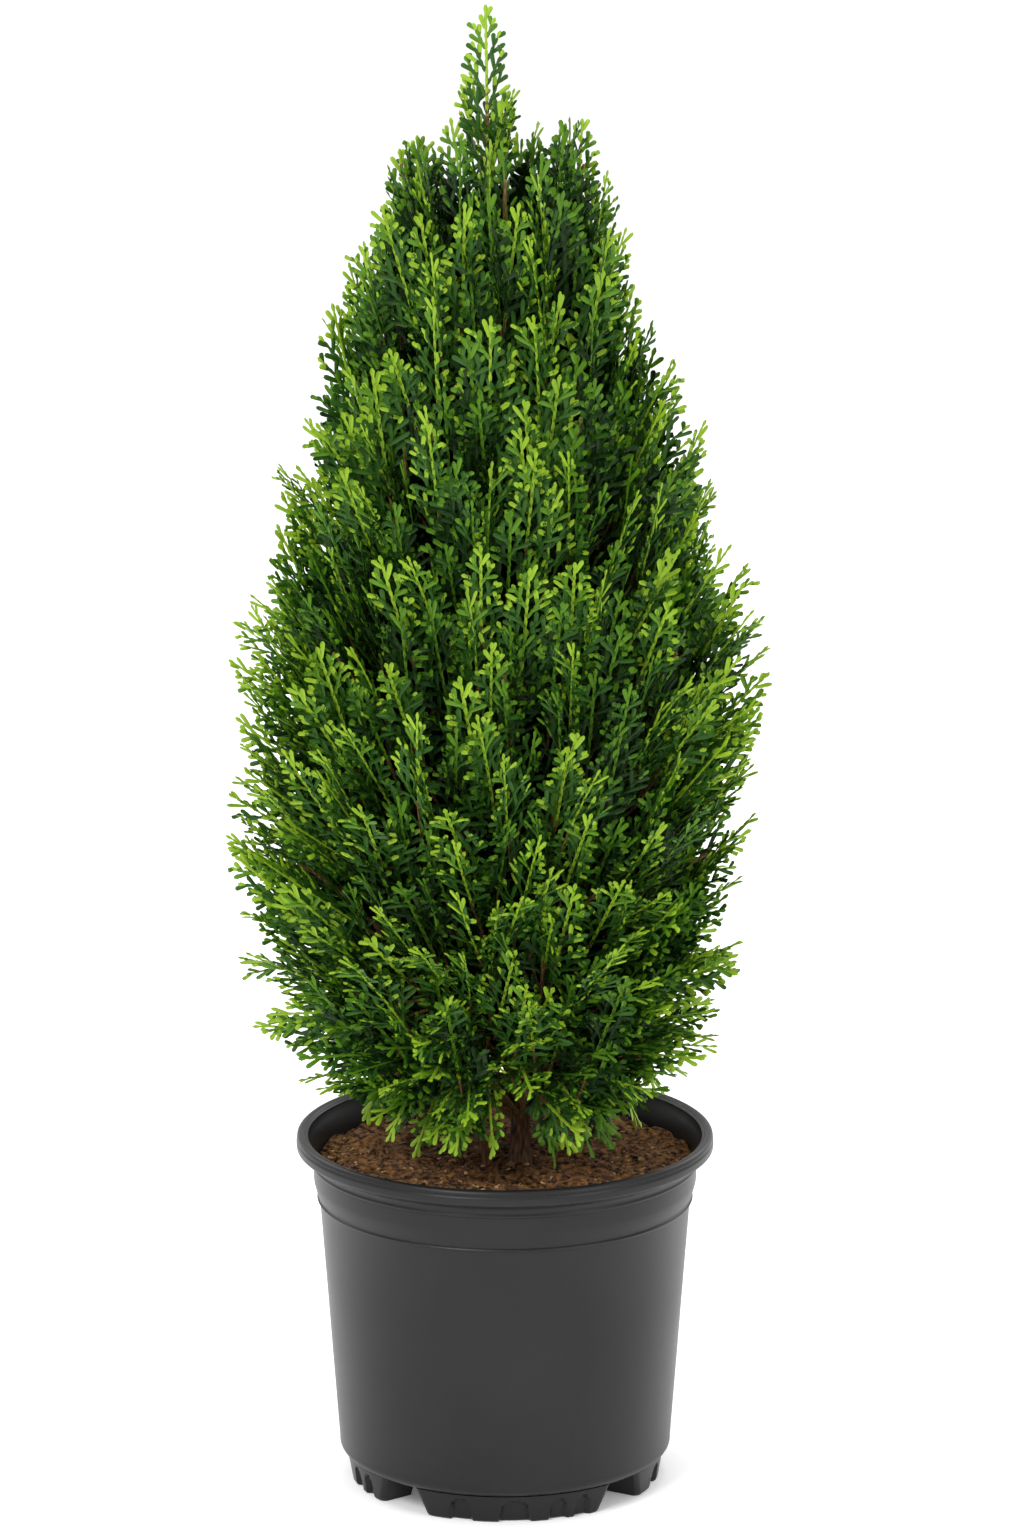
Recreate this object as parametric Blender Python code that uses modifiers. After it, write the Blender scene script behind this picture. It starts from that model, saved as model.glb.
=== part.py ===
"""Potted emerald green arborvitae: a young, conical evergreen in a black nursery pot.

Metres, +Z up. The origin is on the pot's axis, on the ground that the pot stands on.
The plant faces -Y. Limbs rise steeply from a low trunk, and each carries one mass of
foliage: a stem, a slim core, three-sided twigs and flat toothed sprays.
"""

import math
import random

import bmesh
import bpy
import numpy as np
from mathutils import Matrix, Vector

# Driving dimensions of the pot
POT_HEIGHT = 0.241
RIM_RADIUS = 0.1397
FOOT_HEIGHT = 0.018
POT_WALL = 0.0022
POT_SIDES = 32
LEG_COUNT = 4
LEG_TURN = math.radians(3.6)
LEG_HALF_ANGLE_TOP = math.radians(38.2)
LEG_HALF_ANGLE_BOTTOM = math.radians(34.0)
LEG_DEPTH = 0.024
ARCH_OFFSETS = tuple(math.radians(angle) for angle in (-20.0, 0.0, 18.0))
ARCH_WIDTHS = (0.012, 0.017, 0.010)
ARCH_DEPTH = 0.0032

# Driving dimensions of the soil and the trunk
SOIL_HEIGHT = 0.224
SOIL_ROUGHNESS = 0.0035
CLEARANCE = 0.0003
TRUNK_FOOT = Vector((0.010, -0.020, SOIL_HEIGHT + CLEARANCE))
TRUNK_TIP = Vector((-0.0110, -0.001, 0.900))
SIDE_STEM_FOOT = Vector((-0.011, -0.025, SOIL_HEIGHT + CLEARANCE))
SIDE_STEM_MASS = "low_6"
SIDE_STEM_RISE = math.radians(78.0)
SEAT_CENTRE = Vector((0.001, -0.021, SOIL_HEIGHT))
SEAT_RADIUS = 0.026
TRUNK_RADIUS = 0.0062
TRUNK_TIP_RADIUS = 0.0013
TRUNK_BEND = 0.005
FLARE_RADIUS = 0.0026
FLARE_HEIGHT = 0.012
PLANT_TOP = 1.0
PLANT_TOP_X = -0.0125

# Crown outline: height, reach to the left and reach to the right of the pot's axis
CROWN_ROWS = (
    (0.232, 0.080, 0.086),
    (0.262, 0.110, 0.108),
    (0.292, 0.128, 0.118),
    (0.325, 0.165, 0.148),
    (0.375, 0.183, 0.160),
    (0.410, 0.187, 0.170),
    (0.490, 0.185, 0.172),
    (0.590, 0.177, 0.178),
    (0.655, 0.160, 0.150),
    (0.735, 0.128, 0.127),
    (0.795, 0.116, 0.102),
    (0.860, 0.096, 0.074),
    (0.925, 0.074, 0.056),
    (0.960, 0.045, 0.030),
    (1.000, 0.020, 0.006),
)
SLOPE_LOW = math.radians(-35.0)
SLOPE_TOP = math.radians(86.0)
SLOPE_POWER = 0.45
SLOPE_FOOT = 0.25

# Foliage: the tiers of masses, from the skirt over the soil to the top.
# Each row of sprays is given as the height of its tips and how many a mass has there.
TIERS = (
    {"name": "skirt", "masses": 6, "turn": 0.18, "root": 0.250, "step": 0.003, "rise": 38.0,
     "split": 0.0, "rows": ((0.262, 2), (0.330, 2))},
    {"name": "low", "masses": 7, "turn": 0.50, "root": 0.283, "step": 0.006, "rise": 56.0,
     "split": 0.34, "rows": ((0.395, 2), (0.470, 3))},
    {"name": "middle", "masses": 7, "turn": 0.00, "root": 0.328, "step": 0.007, "rise": 70.0,
     "split": 0.38, "rows": ((0.545, 2), (0.620, 3))},
    {"name": "upper", "masses": 6, "turn": 0.50, "root": 0.470, "step": 0.007, "rise": 74.0,
     "split": 0.0, "rows": ((0.695, 3), (0.775, 2))},
    {"name": "top", "masses": 4, "turn": 0.00, "root": 0.640, "step": 0.010, "rise": 80.0,
     "split": 0.0, "rows": ((0.850, 2), (0.925, 2))},
)
BOUGH_RADIUS = 0.0034
BOUGH_TIP_RADIUS = 0.0024
STEM_TIP_RADIUS = 0.0012
TWIG_RADIUS = 0.0014
TWIG_SINK = 0.004
SPRAY_LENGTH = 0.122
SPRAY_WIDTH = 0.060
SPRAY_THICKNESS = 0.0022
SPRAY_MIDRIB = 0.0080
BARB_ANGLE = math.radians(50.0)
SPRAY_TURN = math.radians(42.0)
SPRAY_TRIES = 16
SPACE_MARGIN = 0.0016
CORE_SHARE = 0.80
CORE_MOST = 0.042
CORE_SIDES = 5
SEED = 11
LEADER_SPRAYS = 5
LEADER_SPRAY_LENGTH = 0.066
WELD = 2e-6
FLAT_ANGLE = 0.008

BARK_BROWN = (0.17, 0.10, 0.06, 1.0)
BOUGH_BROWN = (0.22, 0.12, 0.06, 1.0)
SOIL_BROWN = (0.07, 0.04, 0.025, 1.0)
POT_CHARCOAL = (0.045, 0.045, 0.048, 1.0)
FOLIAGE_GREENS = {
    "skirt": (0.10, 0.24, 0.05, 1.0),
    "low": (0.11, 0.27, 0.05, 1.0),
    "middle": (0.13, 0.31, 0.05, 1.0),
    "upper": (0.15, 0.34, 0.06, 1.0),
    "top": (0.18, 0.38, 0.07, 1.0),
    "leader": (0.20, 0.40, 0.08, 1.0),
}


def clear_scene():
    for old in list(bpy.data.objects):
        bpy.data.objects.remove(old, do_unlink=True)


def new_collection(name):
    collection = bpy.data.collections.new(name)
    bpy.context.scene.collection.children.link(collection)
    return collection


def plain_material(name, colour, roughness):
    material = bpy.data.materials.new(name)
    material.use_nodes = True
    shader = material.node_tree.nodes["Principled BSDF"]
    shader.inputs["Base Color"].default_value = colour
    shader.inputs["Roughness"].default_value = roughness
    shader.inputs["Metallic"].default_value = 0.0
    material.diffuse_color = colour
    return material


def mesh_object(name, mesh, collection):
    thing = bpy.data.objects.new(name, mesh)
    collection.objects.link(thing)
    return thing


def object_from_bmesh(name, shape, collection):
    mesh = bpy.data.meshes.new(name)
    bmesh.ops.recalc_face_normals(shape, faces=shape.faces)
    shape.to_mesh(mesh)
    shape.free()
    return mesh_object(name, mesh, collection)


def as_cutter(thing):
    thing.hide_render = True
    thing.display_type = "WIRE"
    return thing


def finish(thing, colour, roughness, smooth_angle=None):
    """Give a finished sub-part its own material and its shading."""
    thing.data.materials.clear()
    thing.data.materials.append(plain_material(thing.name + "_finish", colour, roughness))
    if smooth_angle is not None:
        thing.data.shade_smooth()
        thing.data.set_sharp_from_angle(angle=math.radians(smooth_angle))


def apply_modifiers(thing):
    """Replace the object's mesh by what its modifiers make of it."""
    bpy.context.view_layer.update()
    graph = bpy.context.evaluated_depsgraph_get()
    mesh = bpy.data.meshes.new_from_object(thing.evaluated_get(graph))
    thing.modifiers.clear()
    old = thing.data
    thing.data = mesh
    bpy.data.meshes.remove(old)


def add_boolean(thing, operation, others, solver):
    """Add one Boolean modifier that works on an object or on a collection."""
    modifier = thing.modifiers.new(operation.lower(), "BOOLEAN")
    modifier.operation = operation
    modifier.solver = solver
    if isinstance(others, bpy.types.Collection):
        modifier.operand_type = "COLLECTION"
        modifier.collection = others
    else:
        modifier.object = others


def combine(thing, steps):
    """Work Booleans into an object, by the second solver where the first one fails."""
    start = thing.data.copy()
    for solver in ("EXACT", "MANIFOLD"):
        thing.data = start.copy()
        for operation, others in steps:
            add_boolean(thing, operation, others, solver)
        apply_modifiers(thing)
        if keep_main_body(thing):
            break
    bpy.data.meshes.remove(start)


def islands(shape):
    """Return the face groups of a mesh that hang together."""
    left = set(shape.faces)
    groups = []
    while left:
        group = []
        stack = [left.pop()]
        while stack:
            face = stack.pop()
            group.append(face)
            for edge in face.edges:
                for other in edge.link_faces:
                    if other in left:
                        left.remove(other)
                        stack.append(other)
        groups.append(group)
    return groups


def group_volume(group):
    total = 0.0
    for face in group:
        corners = [vert.co for vert in face.verts]
        for second, third in zip(corners[1:], corners[2:]):
            total += corners[0].dot(second.cross(third)) / 6.0
    return total


def keep_main_body(thing):
    """Drop loose scraps, fill sealed hollows, weld close points; tell if it is closed."""
    shape = bmesh.new()
    shape.from_mesh(thing.data)
    bmesh.ops.remove_doubles(shape, verts=shape.verts, dist=WELD)
    bmesh.ops.dissolve_degenerate(shape, edges=shape.edges, dist=WELD)
    lean = shape.copy()
    bmesh.ops.dissolve_limit(lean, angle_limit=FLAT_ANGLE, verts=lean.verts, edges=lean.edges)
    closed = False
    for candidate in (lean, shape):
        bmesh.ops.triangulate(candidate, faces=candidate.faces, ngon_method="EAR_CLIP")
        groups = sorted(islands(candidate), key=group_volume)
        extra = [face for group in groups[:-1] for face in group]
        bmesh.ops.delete(candidate, geom=extra, context="FACES")
        if not closed and is_closed(candidate):
            candidate.to_mesh(thing.data)
            closed = True
        candidate.free()
    return closed


def is_closed(shape):
    """True for a mesh with no open edge and no edge or face too small to keep."""
    if not shape.faces or any(len(edge.link_faces) != 2 for edge in shape.edges):
        return False
    return min(edge.calc_length() for edge in shape.edges) > 0.5 * WELD


def limb_mesh(name, points, radii, collection, resolution=1):
    """Make one tapering limb as a closed mesh from a bevelled curve."""
    curve = bpy.data.curves.new(name, "CURVE")
    curve.dimensions = "3D"
    curve.bevel_depth = 1.0
    curve.bevel_resolution = resolution
    curve.use_fill_caps = True
    spline = curve.splines.new("POLY")
    spline.points.add(len(points) - 1)
    for spot, place, radius in zip(spline.points, points, radii):
        spot.co = (*place, 1.0)
        spot.radius = radius
    thing = bpy.data.objects.new(name, curve)
    collection.objects.link(thing)
    bpy.context.view_layer.update()
    graph = bpy.context.evaluated_depsgraph_get()
    mesh = bpy.data.meshes.new_from_object(thing.evaluated_get(graph))
    bpy.data.objects.remove(thing, do_unlink=True)
    bpy.data.curves.remove(curve)
    shape = bmesh.new()
    shape.from_mesh(mesh)
    bmesh.ops.remove_doubles(shape, verts=shape.verts, dist=1e-5)
    bmesh.ops.recalc_face_normals(shape, faces=shape.faces)
    shape.to_mesh(mesh)
    shape.free()
    return mesh_object(name, mesh, collection)


def pot_profile():
    """Radius and height, from the floor's top over the rim and down the outer side."""
    floor_top = FOOT_HEIGHT + POT_WALL
    inner = [
        (0.0, floor_top),
        (0.1045, floor_top),
        (0.1085, 0.0275),
        (0.1218, 0.1930),
        (0.1257, 0.2080),
        (0.1264, 0.2250),
        (0.1324, 0.2375),
    ]
    rim = [
        (0.1345, POT_HEIGHT),
        (0.1382, POT_HEIGHT),
        (RIM_RADIUS, POT_HEIGHT - 0.0036),
        (RIM_RADIUS - 0.0002, POT_HEIGHT - 0.0085),
        (0.1335, 0.2285),
        (0.1290, 0.2225),
    ]
    outer = [
        (0.1283, 0.2190),
        (0.1281, 0.2080),
        (0.1247, 0.1955),
        (0.1239, 0.1925),
        (0.1113, 0.0250),
        (0.1078, FOOT_HEIGHT),
        (0.0, FOOT_HEIGHT),
    ]
    return inner + rim + outer


def turned(name, profile, sides, collection):
    """Turn a profile of radii and heights round the Z axis with a Screw modifier."""
    shape = bmesh.new()
    verts = [shape.verts.new((radius, 0.0, height)) for radius, height in profile]
    for first, second in zip(verts, verts[1:]):
        shape.edges.new((first, second))
    mesh = bpy.data.meshes.new(name)
    shape.to_mesh(mesh)
    shape.free()
    thing = mesh_object(name, mesh, collection)
    screw = thing.modifiers.new("turn", "SCREW")
    screw.axis = "Z"
    screw.steps = sides
    screw.render_steps = sides
    screw.use_merge_vertices = True
    screw.merge_threshold = 0.00005
    apply_modifiers(thing)
    return thing


def sector_block(name, centre, profile, half_angle, steps, collection):
    """Make a block that bends round the axis; half_angle gives its half width by height."""
    shape = bmesh.new()
    sections = []
    for step in range(steps + 1):
        share = 2.0 * step / steps - 1.0
        section = []
        for radius, height in profile:
            angle = centre + share * half_angle(height)
            place = (radius * math.sin(angle), -radius * math.cos(angle), height)
            section.append(shape.verts.new(place))
        sections.append(section)
    shape.faces.new(sections[0])
    shape.faces.new(sections[-1])
    for first, second in zip(sections, sections[1:]):
        for index in range(len(profile)):
            after = (index + 1) % len(profile)
            shape.faces.new((first[index], first[after], second[after], second[index]))
    return object_from_bmesh(name, shape, collection)


def leg_half_angle(height, inset=0.0):
    share = min(max(height / FOOT_HEIGHT, 0.0), 1.2)
    spread = LEG_HALF_ANGLE_TOP - LEG_HALF_ANGLE_BOTTOM
    return LEG_HALF_ANGLE_BOTTOM + spread * share - inset


def leg_lobe(name, centre, collection):
    foot_out = 0.1035
    top_out = 0.1066
    top = FOOT_HEIGHT + 0.4 * POT_WALL
    profile = [
        (foot_out - LEG_DEPTH + 0.002, 0.0),
        (foot_out - 0.0015, 0.0),
        (foot_out, 0.0018),
        (top_out, top),
        (top_out - LEG_DEPTH - 0.001, top),
    ]
    return sector_block(name, centre, profile, leg_half_angle, 4, collection)


def leg_hollow(name, centre, collection):
    """The inside of a leg, open to the pot's inside."""
    out = 0.1035 - ARCH_DEPTH - POT_WALL
    inside = 0.1035 - LEG_DEPTH + POT_WALL + 0.002
    top = FOOT_HEIGHT + 2.0 * POT_WALL
    inset = POT_WALL / 0.09
    profile = [(inside, POT_WALL), (out, POT_WALL), (out, top), (inside, top)]
    return sector_block(
        name, centre, profile, lambda height: leg_half_angle(height, inset), 4, collection
    )


def arch_cutter(name, centre, width, collection):
    """A shallow upright recess with an arched top, pressed into a leg's outer wall."""
    inner = 0.1035 - ARCH_DEPTH
    outer = 0.1120
    half = 0.5 * width
    spring = FOOT_HEIGHT - 0.0055
    outline = [(-half, -0.001), (half, -0.001), (half, spring)]
    for degrees in (55.0, 125.0):
        angle = math.radians(degrees)
        outline.append((half * math.cos(angle), spring + 0.0035 * math.sin(angle)))
    outline.append((-half, spring))
    shape = bmesh.new()
    turn = Matrix.Rotation(centre, 3, "Z")
    rings = []
    for depth, lean in ((inner, 0.0), (outer, 0.12)):
        ring = []
        for across, height in outline:
            place = Vector((across, -(depth + lean * max(height, 0.0)), height))
            ring.append(shape.verts.new(turn @ place))
        rings.append(ring)
    shape.faces.new(rings[0])
    shape.faces.new(rings[1])
    for index in range(len(outline)):
        after = (index + 1) % len(outline)
        pair = (rings[0][index], rings[0][after], rings[1][after], rings[1][index])
        shape.faces.new(pair)
    return object_from_bmesh(name, shape, collection)


def drain_cutter(name, angle, collection):
    """A round drain hole through the floor, between two legs."""
    radius = 0.093
    shape = bmesh.new()
    place = Matrix.Translation((radius * math.sin(angle), -radius * math.cos(angle), FOOT_HEIGHT))
    bmesh.ops.create_cone(
        shape, cap_ends=True, segments=8, radius1=0.005, radius2=0.005, depth=0.012, matrix=place
    )
    return object_from_bmesh(name, shape, collection)


def make_pot(parts, cutters):
    pot = turned("pot", pot_profile(), POT_SIDES, parts)
    legs = new_collection("leg_lobes")
    pressed = new_collection("pot_cutters")
    for index in range(LEG_COUNT):
        centre = LEG_TURN + index * math.tau / LEG_COUNT
        leg_lobe(f"leg_{index + 1}", centre, legs)
        as_cutter(leg_hollow(f"leg_hollow_{index + 1}", centre, pressed))
        as_cutter(drain_cutter(f"drain_{index + 1}", centre + math.pi / LEG_COUNT, pressed))
        for number, (offset, width) in enumerate(zip(ARCH_OFFSETS, ARCH_WIDTHS)):
            name = f"arch_{index + 1}_{number + 1}"
            as_cutter(arch_cutter(name, centre + offset, width, pressed))
    combine(pot, [("UNION", legs), ("DIFFERENCE", pressed)])
    remove_collection(legs)
    remove_collection(pressed)
    finish(pot, POT_CHARCOAL, 0.45, smooth_angle=35.0)
    return pot


def remove_collection(collection):
    for thing in list(collection.objects):
        bpy.data.objects.remove(thing, do_unlink=True)
    bpy.data.collections.remove(collection)


def pot_inner_radius(height):
    """Radius of the pot's inner wall, from its own profile."""
    wall = pot_profile()[1:7]
    for (low_radius, low), (high_radius, high) in zip(wall, wall[1:]):
        if height <= high:
            share = (height - low) / (high - low)
            return low_radius + (high_radius - low_radius) * share
    return wall[-1][0]


def make_soil(parts):
    """The filling of potting mix: it follows the wall, and its top is uneven."""
    rng = random.Random(SEED)
    bottom = FOOT_HEIGHT + POT_WALL + CLEARANCE
    gap = CLEARANCE / math.cos(math.pi / POT_SIDES) + 0.0001
    edge = SOIL_HEIGHT - 0.001
    levels = [(0.1045 - gap, bottom), (0.1085 - gap, 0.0275), (0.1218 - gap, 0.1930)]
    levels += [(0.1257 - gap, 0.2080), (pot_inner_radius(edge) - gap, edge)]
    shape = bmesh.new()
    rings = []
    for radius, height in levels:
        rings.append(soil_ring(shape, radius, [height] * POT_SIDES, POT_SIDES))
    for radius in (0.100, 0.062):
        heights = []
        for step in range(POT_SIDES // 2):
            heights.append(SOIL_HEIGHT + rng.uniform(-SOIL_ROUGHNESS, 0.6 * SOIL_ROUGHNESS))
        rings.append(soil_ring(shape, radius, heights, POT_SIDES // 2))
    seat = soil_ring(shape, SEAT_RADIUS, [0.0] * (POT_SIDES // 2), POT_SIDES // 2)
    for vert in seat:
        vert.co += SEAT_CENTRE
    rings.append(seat)
    shape.faces.new(rings[0])
    for first, second in zip(rings, rings[1:]):
        bridge(shape, first, second)
    shape.faces.new(rings[-1])
    soil = object_from_bmesh("soil", shape, parts)
    finish(soil, SOIL_BROWN, 0.95)
    return soil


def soil_ring(shape, radius, heights, sides):
    ring = []
    for step in range(sides):
        angle = math.tau * step / sides
        place = (radius * math.cos(angle), radius * math.sin(angle), heights[step])
        ring.append(shape.verts.new(place))
    return ring


def bridge(shape, first, second):
    """Join two rings; the second has as many points as the first, or half as many."""
    count = len(first)
    if len(second) == count:
        for index in range(count):
            after = (index + 1) % count
            shape.faces.new((first[index], first[after], second[after], second[index]))
        return
    for index in range(len(second)):
        after = (index + 1) % len(second)
        outer = [first[(2 * index + step) % count] for step in range(3)]
        shape.faces.new((outer[0], outer[1], second[index]))
        shape.faces.new((outer[1], second[after], second[index]))
        shape.faces.new((outer[1], outer[2], second[after]))


def trunk_centre(height):
    """Place of the trunk's centreline at a height: a lean with one slow bend."""
    share = (height - TRUNK_FOOT.z) / (TRUNK_TIP.z - TRUNK_FOOT.z)
    place = TRUNK_FOOT.lerp(TRUNK_TIP, min(max(share, 0.0), 1.0))
    bend = TRUNK_BEND * math.sin(math.tau * share)
    return Vector((place.x + bend, place.y + 0.4 * bend, height))


def trunk_radius(height):
    share = min(max((height - TRUNK_FOOT.z) / (TRUNK_TIP.z - TRUNK_FOOT.z), 0.0), 1.0)
    taper = (TRUNK_RADIUS - TRUNK_TIP_RADIUS) * (1.0 - share) ** 0.85
    flare = FLARE_RADIUS * math.exp(-(height - TRUNK_FOOT.z) / FLARE_HEIGHT)
    return TRUNK_TIP_RADIUS + taper + flare


def trunk_heights():
    low = [TRUNK_FOOT.z + step for step in (0.0, 0.005, 0.013, 0.030)]
    rest = [TRUNK_FOOT.z + 0.030 + (TRUNK_TIP.z - TRUNK_FOOT.z - 0.030) * step / 8.0
            for step in range(1, 9)]
    return low + rest


def make_trunk(name, swell, collection):
    """The trunk, or with a swell the slightly fatter shape that clears its neighbours."""
    points = []
    radii = []
    for height in trunk_heights():
        place = trunk_centre(height)
        if height < TRUNK_FOOT.z + 0.006:
            place = Vector((*TRUNK_FOOT.xy, height))
        points.append(place)
        radii.append(trunk_radius(height) + swell)
    if swell > 0.0:
        points[-1] = points[-1] + Vector((0.0, 0.0, 0.9 * swell))
    return limb_mesh(name, points, radii, collection, resolution=2)


def row_value(height, column):
    """Read the crown's outline at a height, between its named rows."""
    heights = [row[0] for row in CROWN_ROWS]
    return float(np.interp(height, heights, [row[column] for row in CROWN_ROWS]))


def crown_point(height, azimuth, share):
    """A point of the crown at a height and azimuth, at a share of the way to its outline."""
    right = 0.5 + 0.5 * math.cos(azimuth)
    reach = row_value(height, 1) * (1.0 - right) + row_value(height, 2) * right
    out = Vector((math.cos(azimuth), math.sin(azimuth), 0.0))
    return Vector((0.0, 0.0, height)) + out * reach * share


def growth_direction(height, azimuth):
    """Sprays droop at the foot of the crown, reach out low down and stand up at the top."""
    share = min(max((height - SLOPE_FOOT) / (PLANT_TOP - SLOPE_FOOT), 0.0), 1.0)
    slope = SLOPE_LOW + (SLOPE_TOP - SLOPE_LOW) * share ** SLOPE_POWER
    out = Vector((math.cos(azimuth), math.sin(azimuth), 0.0))
    return out * math.cos(slope) + Vector((0.0, 0.0, math.sin(slope)))


def bezier(points, share):
    back = 1.0 - share
    weights = (back ** 3, 3.0 * back * back * share, 3.0 * back * share * share, share ** 3)
    place = Vector((0.0, 0.0, 0.0))
    for weight, point in zip(weights, points):
        place += weight * point
    return place


class Growth:
    """One limb and its mass: where it leaves the trunk, its path and its rows of sprays."""

    def __init__(self, tier, index):
        self.tier = tier["name"]
        self.name = f"{self.tier}_{index + 1}"
        self.split = tier["split"]
        self.rows = tier["rows"]
        self.sector = math.tau / tier["masses"]
        self.azimuth = (index + tier["turn"]) * self.sector - 0.5 * math.pi
        self.from_soil = self.name == SIDE_STEM_MASS
        root = trunk_centre(tier["root"] + tier["step"] * ((3 * index) % tier["masses"]))
        rise = math.radians(tier["rise"])
        if self.from_soil:
            root = SIDE_STEM_FOOT.copy()
            rise = SIDE_STEM_RISE
        end_height = self.rows[-1][0] - 0.030
        end = crown_point(end_height, self.azimuth, 0.80)
        end_direction = growth_direction(end_height, self.azimuth)
        out = Vector((end.x - root.x, end.y - root.y, 0.0)).normalized()
        start_direction = out * math.cos(rise) + Vector((0.0, 0.0, math.sin(rise)))
        span = (end - root).length
        self.curve = (
            root,
            root + start_direction * 0.38 * span,
            end - end_direction * 0.34 * span,
            end,
        )
        self.path = [bezier(self.curve, step / 40.0) for step in range(41)]

    def part(self, first, last, steps):
        return [
            bezier(self.curve, first + (last - first) * step / steps) for step in range(steps + 1)
        ]


def distance_to(points, samples):
    """Least distance from each of the points to a sampled path."""
    gaps = points[:, None, :] - samples[None, :, :]
    return np.sqrt((gaps ** 2).sum(axis=2)).min(axis=1)


class Space:
    """Knows every limb's path, and tells whether a shape keeps to its own mass's space."""

    def __init__(self, growths):
        self.paths = {g.name: np.array([tuple(p) for p in g.path]) for g in growths}
        limbs = [spot for g in growths if g.split > 0.0 for spot in g.part(0.0, g.split, 24)]
        self.limbs = np.array([tuple(spot) for spot in limbs])
        heights = np.linspace(TRUNK_FOOT.z, TRUNK_TIP.z, 120)
        self.trunk = np.array([tuple(trunk_centre(height)) for height in heights])
        self.trunk_radii = np.array([trunk_radius(height) for height in heights])

    def trunk_gap(self, points):
        gaps = points[:, None, :] - self.trunk[None, :, :]
        reach = np.sqrt((gaps ** 2).sum(axis=2)) - self.trunk_radii[None, :]
        return reach.min(axis=1)

    def own_radius(self, name, points):
        """How far a mass may reach from its own path: half the way to its neighbours."""
        nearest = np.full(len(points), 1.0)
        for other, samples in self.paths.items():
            if other != name:
                nearest = np.minimum(nearest, distance_to(points, samples))
        return np.minimum(0.5 * nearest, self.trunk_gap(points))

    def holds(self, name, points):
        own = distance_to(points, self.paths[name])
        for other, samples in self.paths.items():
            if other != name and (distance_to(points, samples) < own + SPACE_MARGIN).any():
                return False
        if self.trunk_gap(points).min() < SPACE_MARGIN:
            return False
        if distance_to(points, self.limbs).min() < BOUGH_RADIUS + SPACE_MARGIN:
            return False
        return pot_clear(points)


def pot_clear(points):
    """True where the points clear the soil, the rim and the pot's inner wall."""
    radius = np.hypot(points[:, 0], points[:, 1])
    height = points[:, 2]
    if (height < SOIL_HEIGHT + 0.006).any():
        return False
    low = height < POT_HEIGHT + 0.006
    return not (low & (radius > 0.118)).any()


def spray_outline(length, width, barbs):
    """Outline of a flat spray, along +Y: forward-pointing barbs on both sides of a midrib."""
    side = []
    start = 0.02 * length
    pitch = (0.80 * length - start) / barbs
    for index in range(barbs):
        swell = math.sin(math.pi * (0.32 + 0.68 * index / barbs))
        reach = 0.5 * width * swell
        foot = start + pitch * index
        side.append((reach, foot + reach / math.tan(BARB_ANGLE)))
        narrow = 0.5 * SPRAY_MIDRIB * (1.0 - 0.6 * (index + 1) / barbs)
        side.append((narrow, foot + pitch))
    right = [(0.5 * SPRAY_MIDRIB, 0.0)] + side
    left = [(-across, along) for across, along in reversed(right)]
    return right + [(0.0, length)] + left


def spray_frame(foot, direction, turn):
    """Axes of a spray: across, along its growth, and square to its face."""
    sideways = direction.cross(Vector((0.0, 0.0, 1.0)))
    if sideways.length < 0.05:
        sideways = Vector((1.0, 0.0, 0.0))
    across = Matrix.Rotation(turn, 3, direction) @ sideways.normalized()
    square = across.cross(direction).normalized()
    frame = Matrix((across, direction, square)).transposed().to_4x4()
    frame.translation = foot
    return frame


def spray_mesh(name, outline, frame, collection):
    shape = bmesh.new()
    bottom = [shape.verts.new((across, along, -0.5 * SPRAY_THICKNESS)) for across, along in outline]
    face = shape.faces.new(bottom)
    grown = bmesh.ops.extrude_face_region(shape, geom=[face])
    lifted = [item for item in grown["geom"] if isinstance(item, bmesh.types.BMVert)]
    bmesh.ops.translate(shape, verts=lifted, vec=(0.0, 0.0, SPRAY_THICKNESS))
    bmesh.ops.transform(shape, matrix=frame, verts=shape.verts)
    return object_from_bmesh(name, shape, collection)


def twig_mesh(name, start, end, collection):
    """A three-sided twig between two places."""
    run = end - start
    turn = run.to_track_quat("Z", "Y").to_matrix().to_4x4()
    place = Matrix.Translation(start.lerp(end, 0.5)) @ turn
    shape = bmesh.new()
    bmesh.ops.create_cone(
        shape, cap_ends=True, segments=3, radius1=TWIG_RADIUS * 1.3, radius2=TWIG_RADIUS,
        depth=run.length, matrix=place
    )
    return object_from_bmesh(name, shape, collection)


def core_mesh(name, growth, space, collection):
    """A slim spindle round the stem, where the foliage is too dense to see through."""
    shares = (0.16, 0.44, 0.74, 0.96)
    first = growth.split
    stations = [first + (1.0 - first) * share for share in shares]
    centres = [bezier(growth.curve, share) for share in stations]
    room = space.own_radius(growth.name, np.array([tuple(c) for c in centres]))
    swell = (0.35, 1.0, 0.95, 0.25)
    shape = bmesh.new()
    rings = []
    for centre, share, fill, most in zip(centres, stations, swell, room):
        radius = max(fill * min(CORE_SHARE * most, CORE_MOST), 0.0030)
        ahead = bezier(growth.curve, min(share + 0.01, 1.0))
        behind = bezier(growth.curve, share - 0.01)
        turn = (ahead - behind).to_track_quat("Z", "Y").to_matrix()
        ring = []
        for step in range(CORE_SIDES):
            angle = math.tau * step / CORE_SIDES
            spot = Vector((radius * math.cos(angle), radius * math.sin(angle), 0.0))
            ring.append(shape.verts.new(centre + turn @ spot))
        rings.append(ring)
    shape.faces.new(rings[0])
    for below, above in zip(rings, rings[1:]):
        bridge(shape, below, above)
    shape.faces.new(rings[-1])
    return object_from_bmesh(name, shape, collection)


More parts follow.
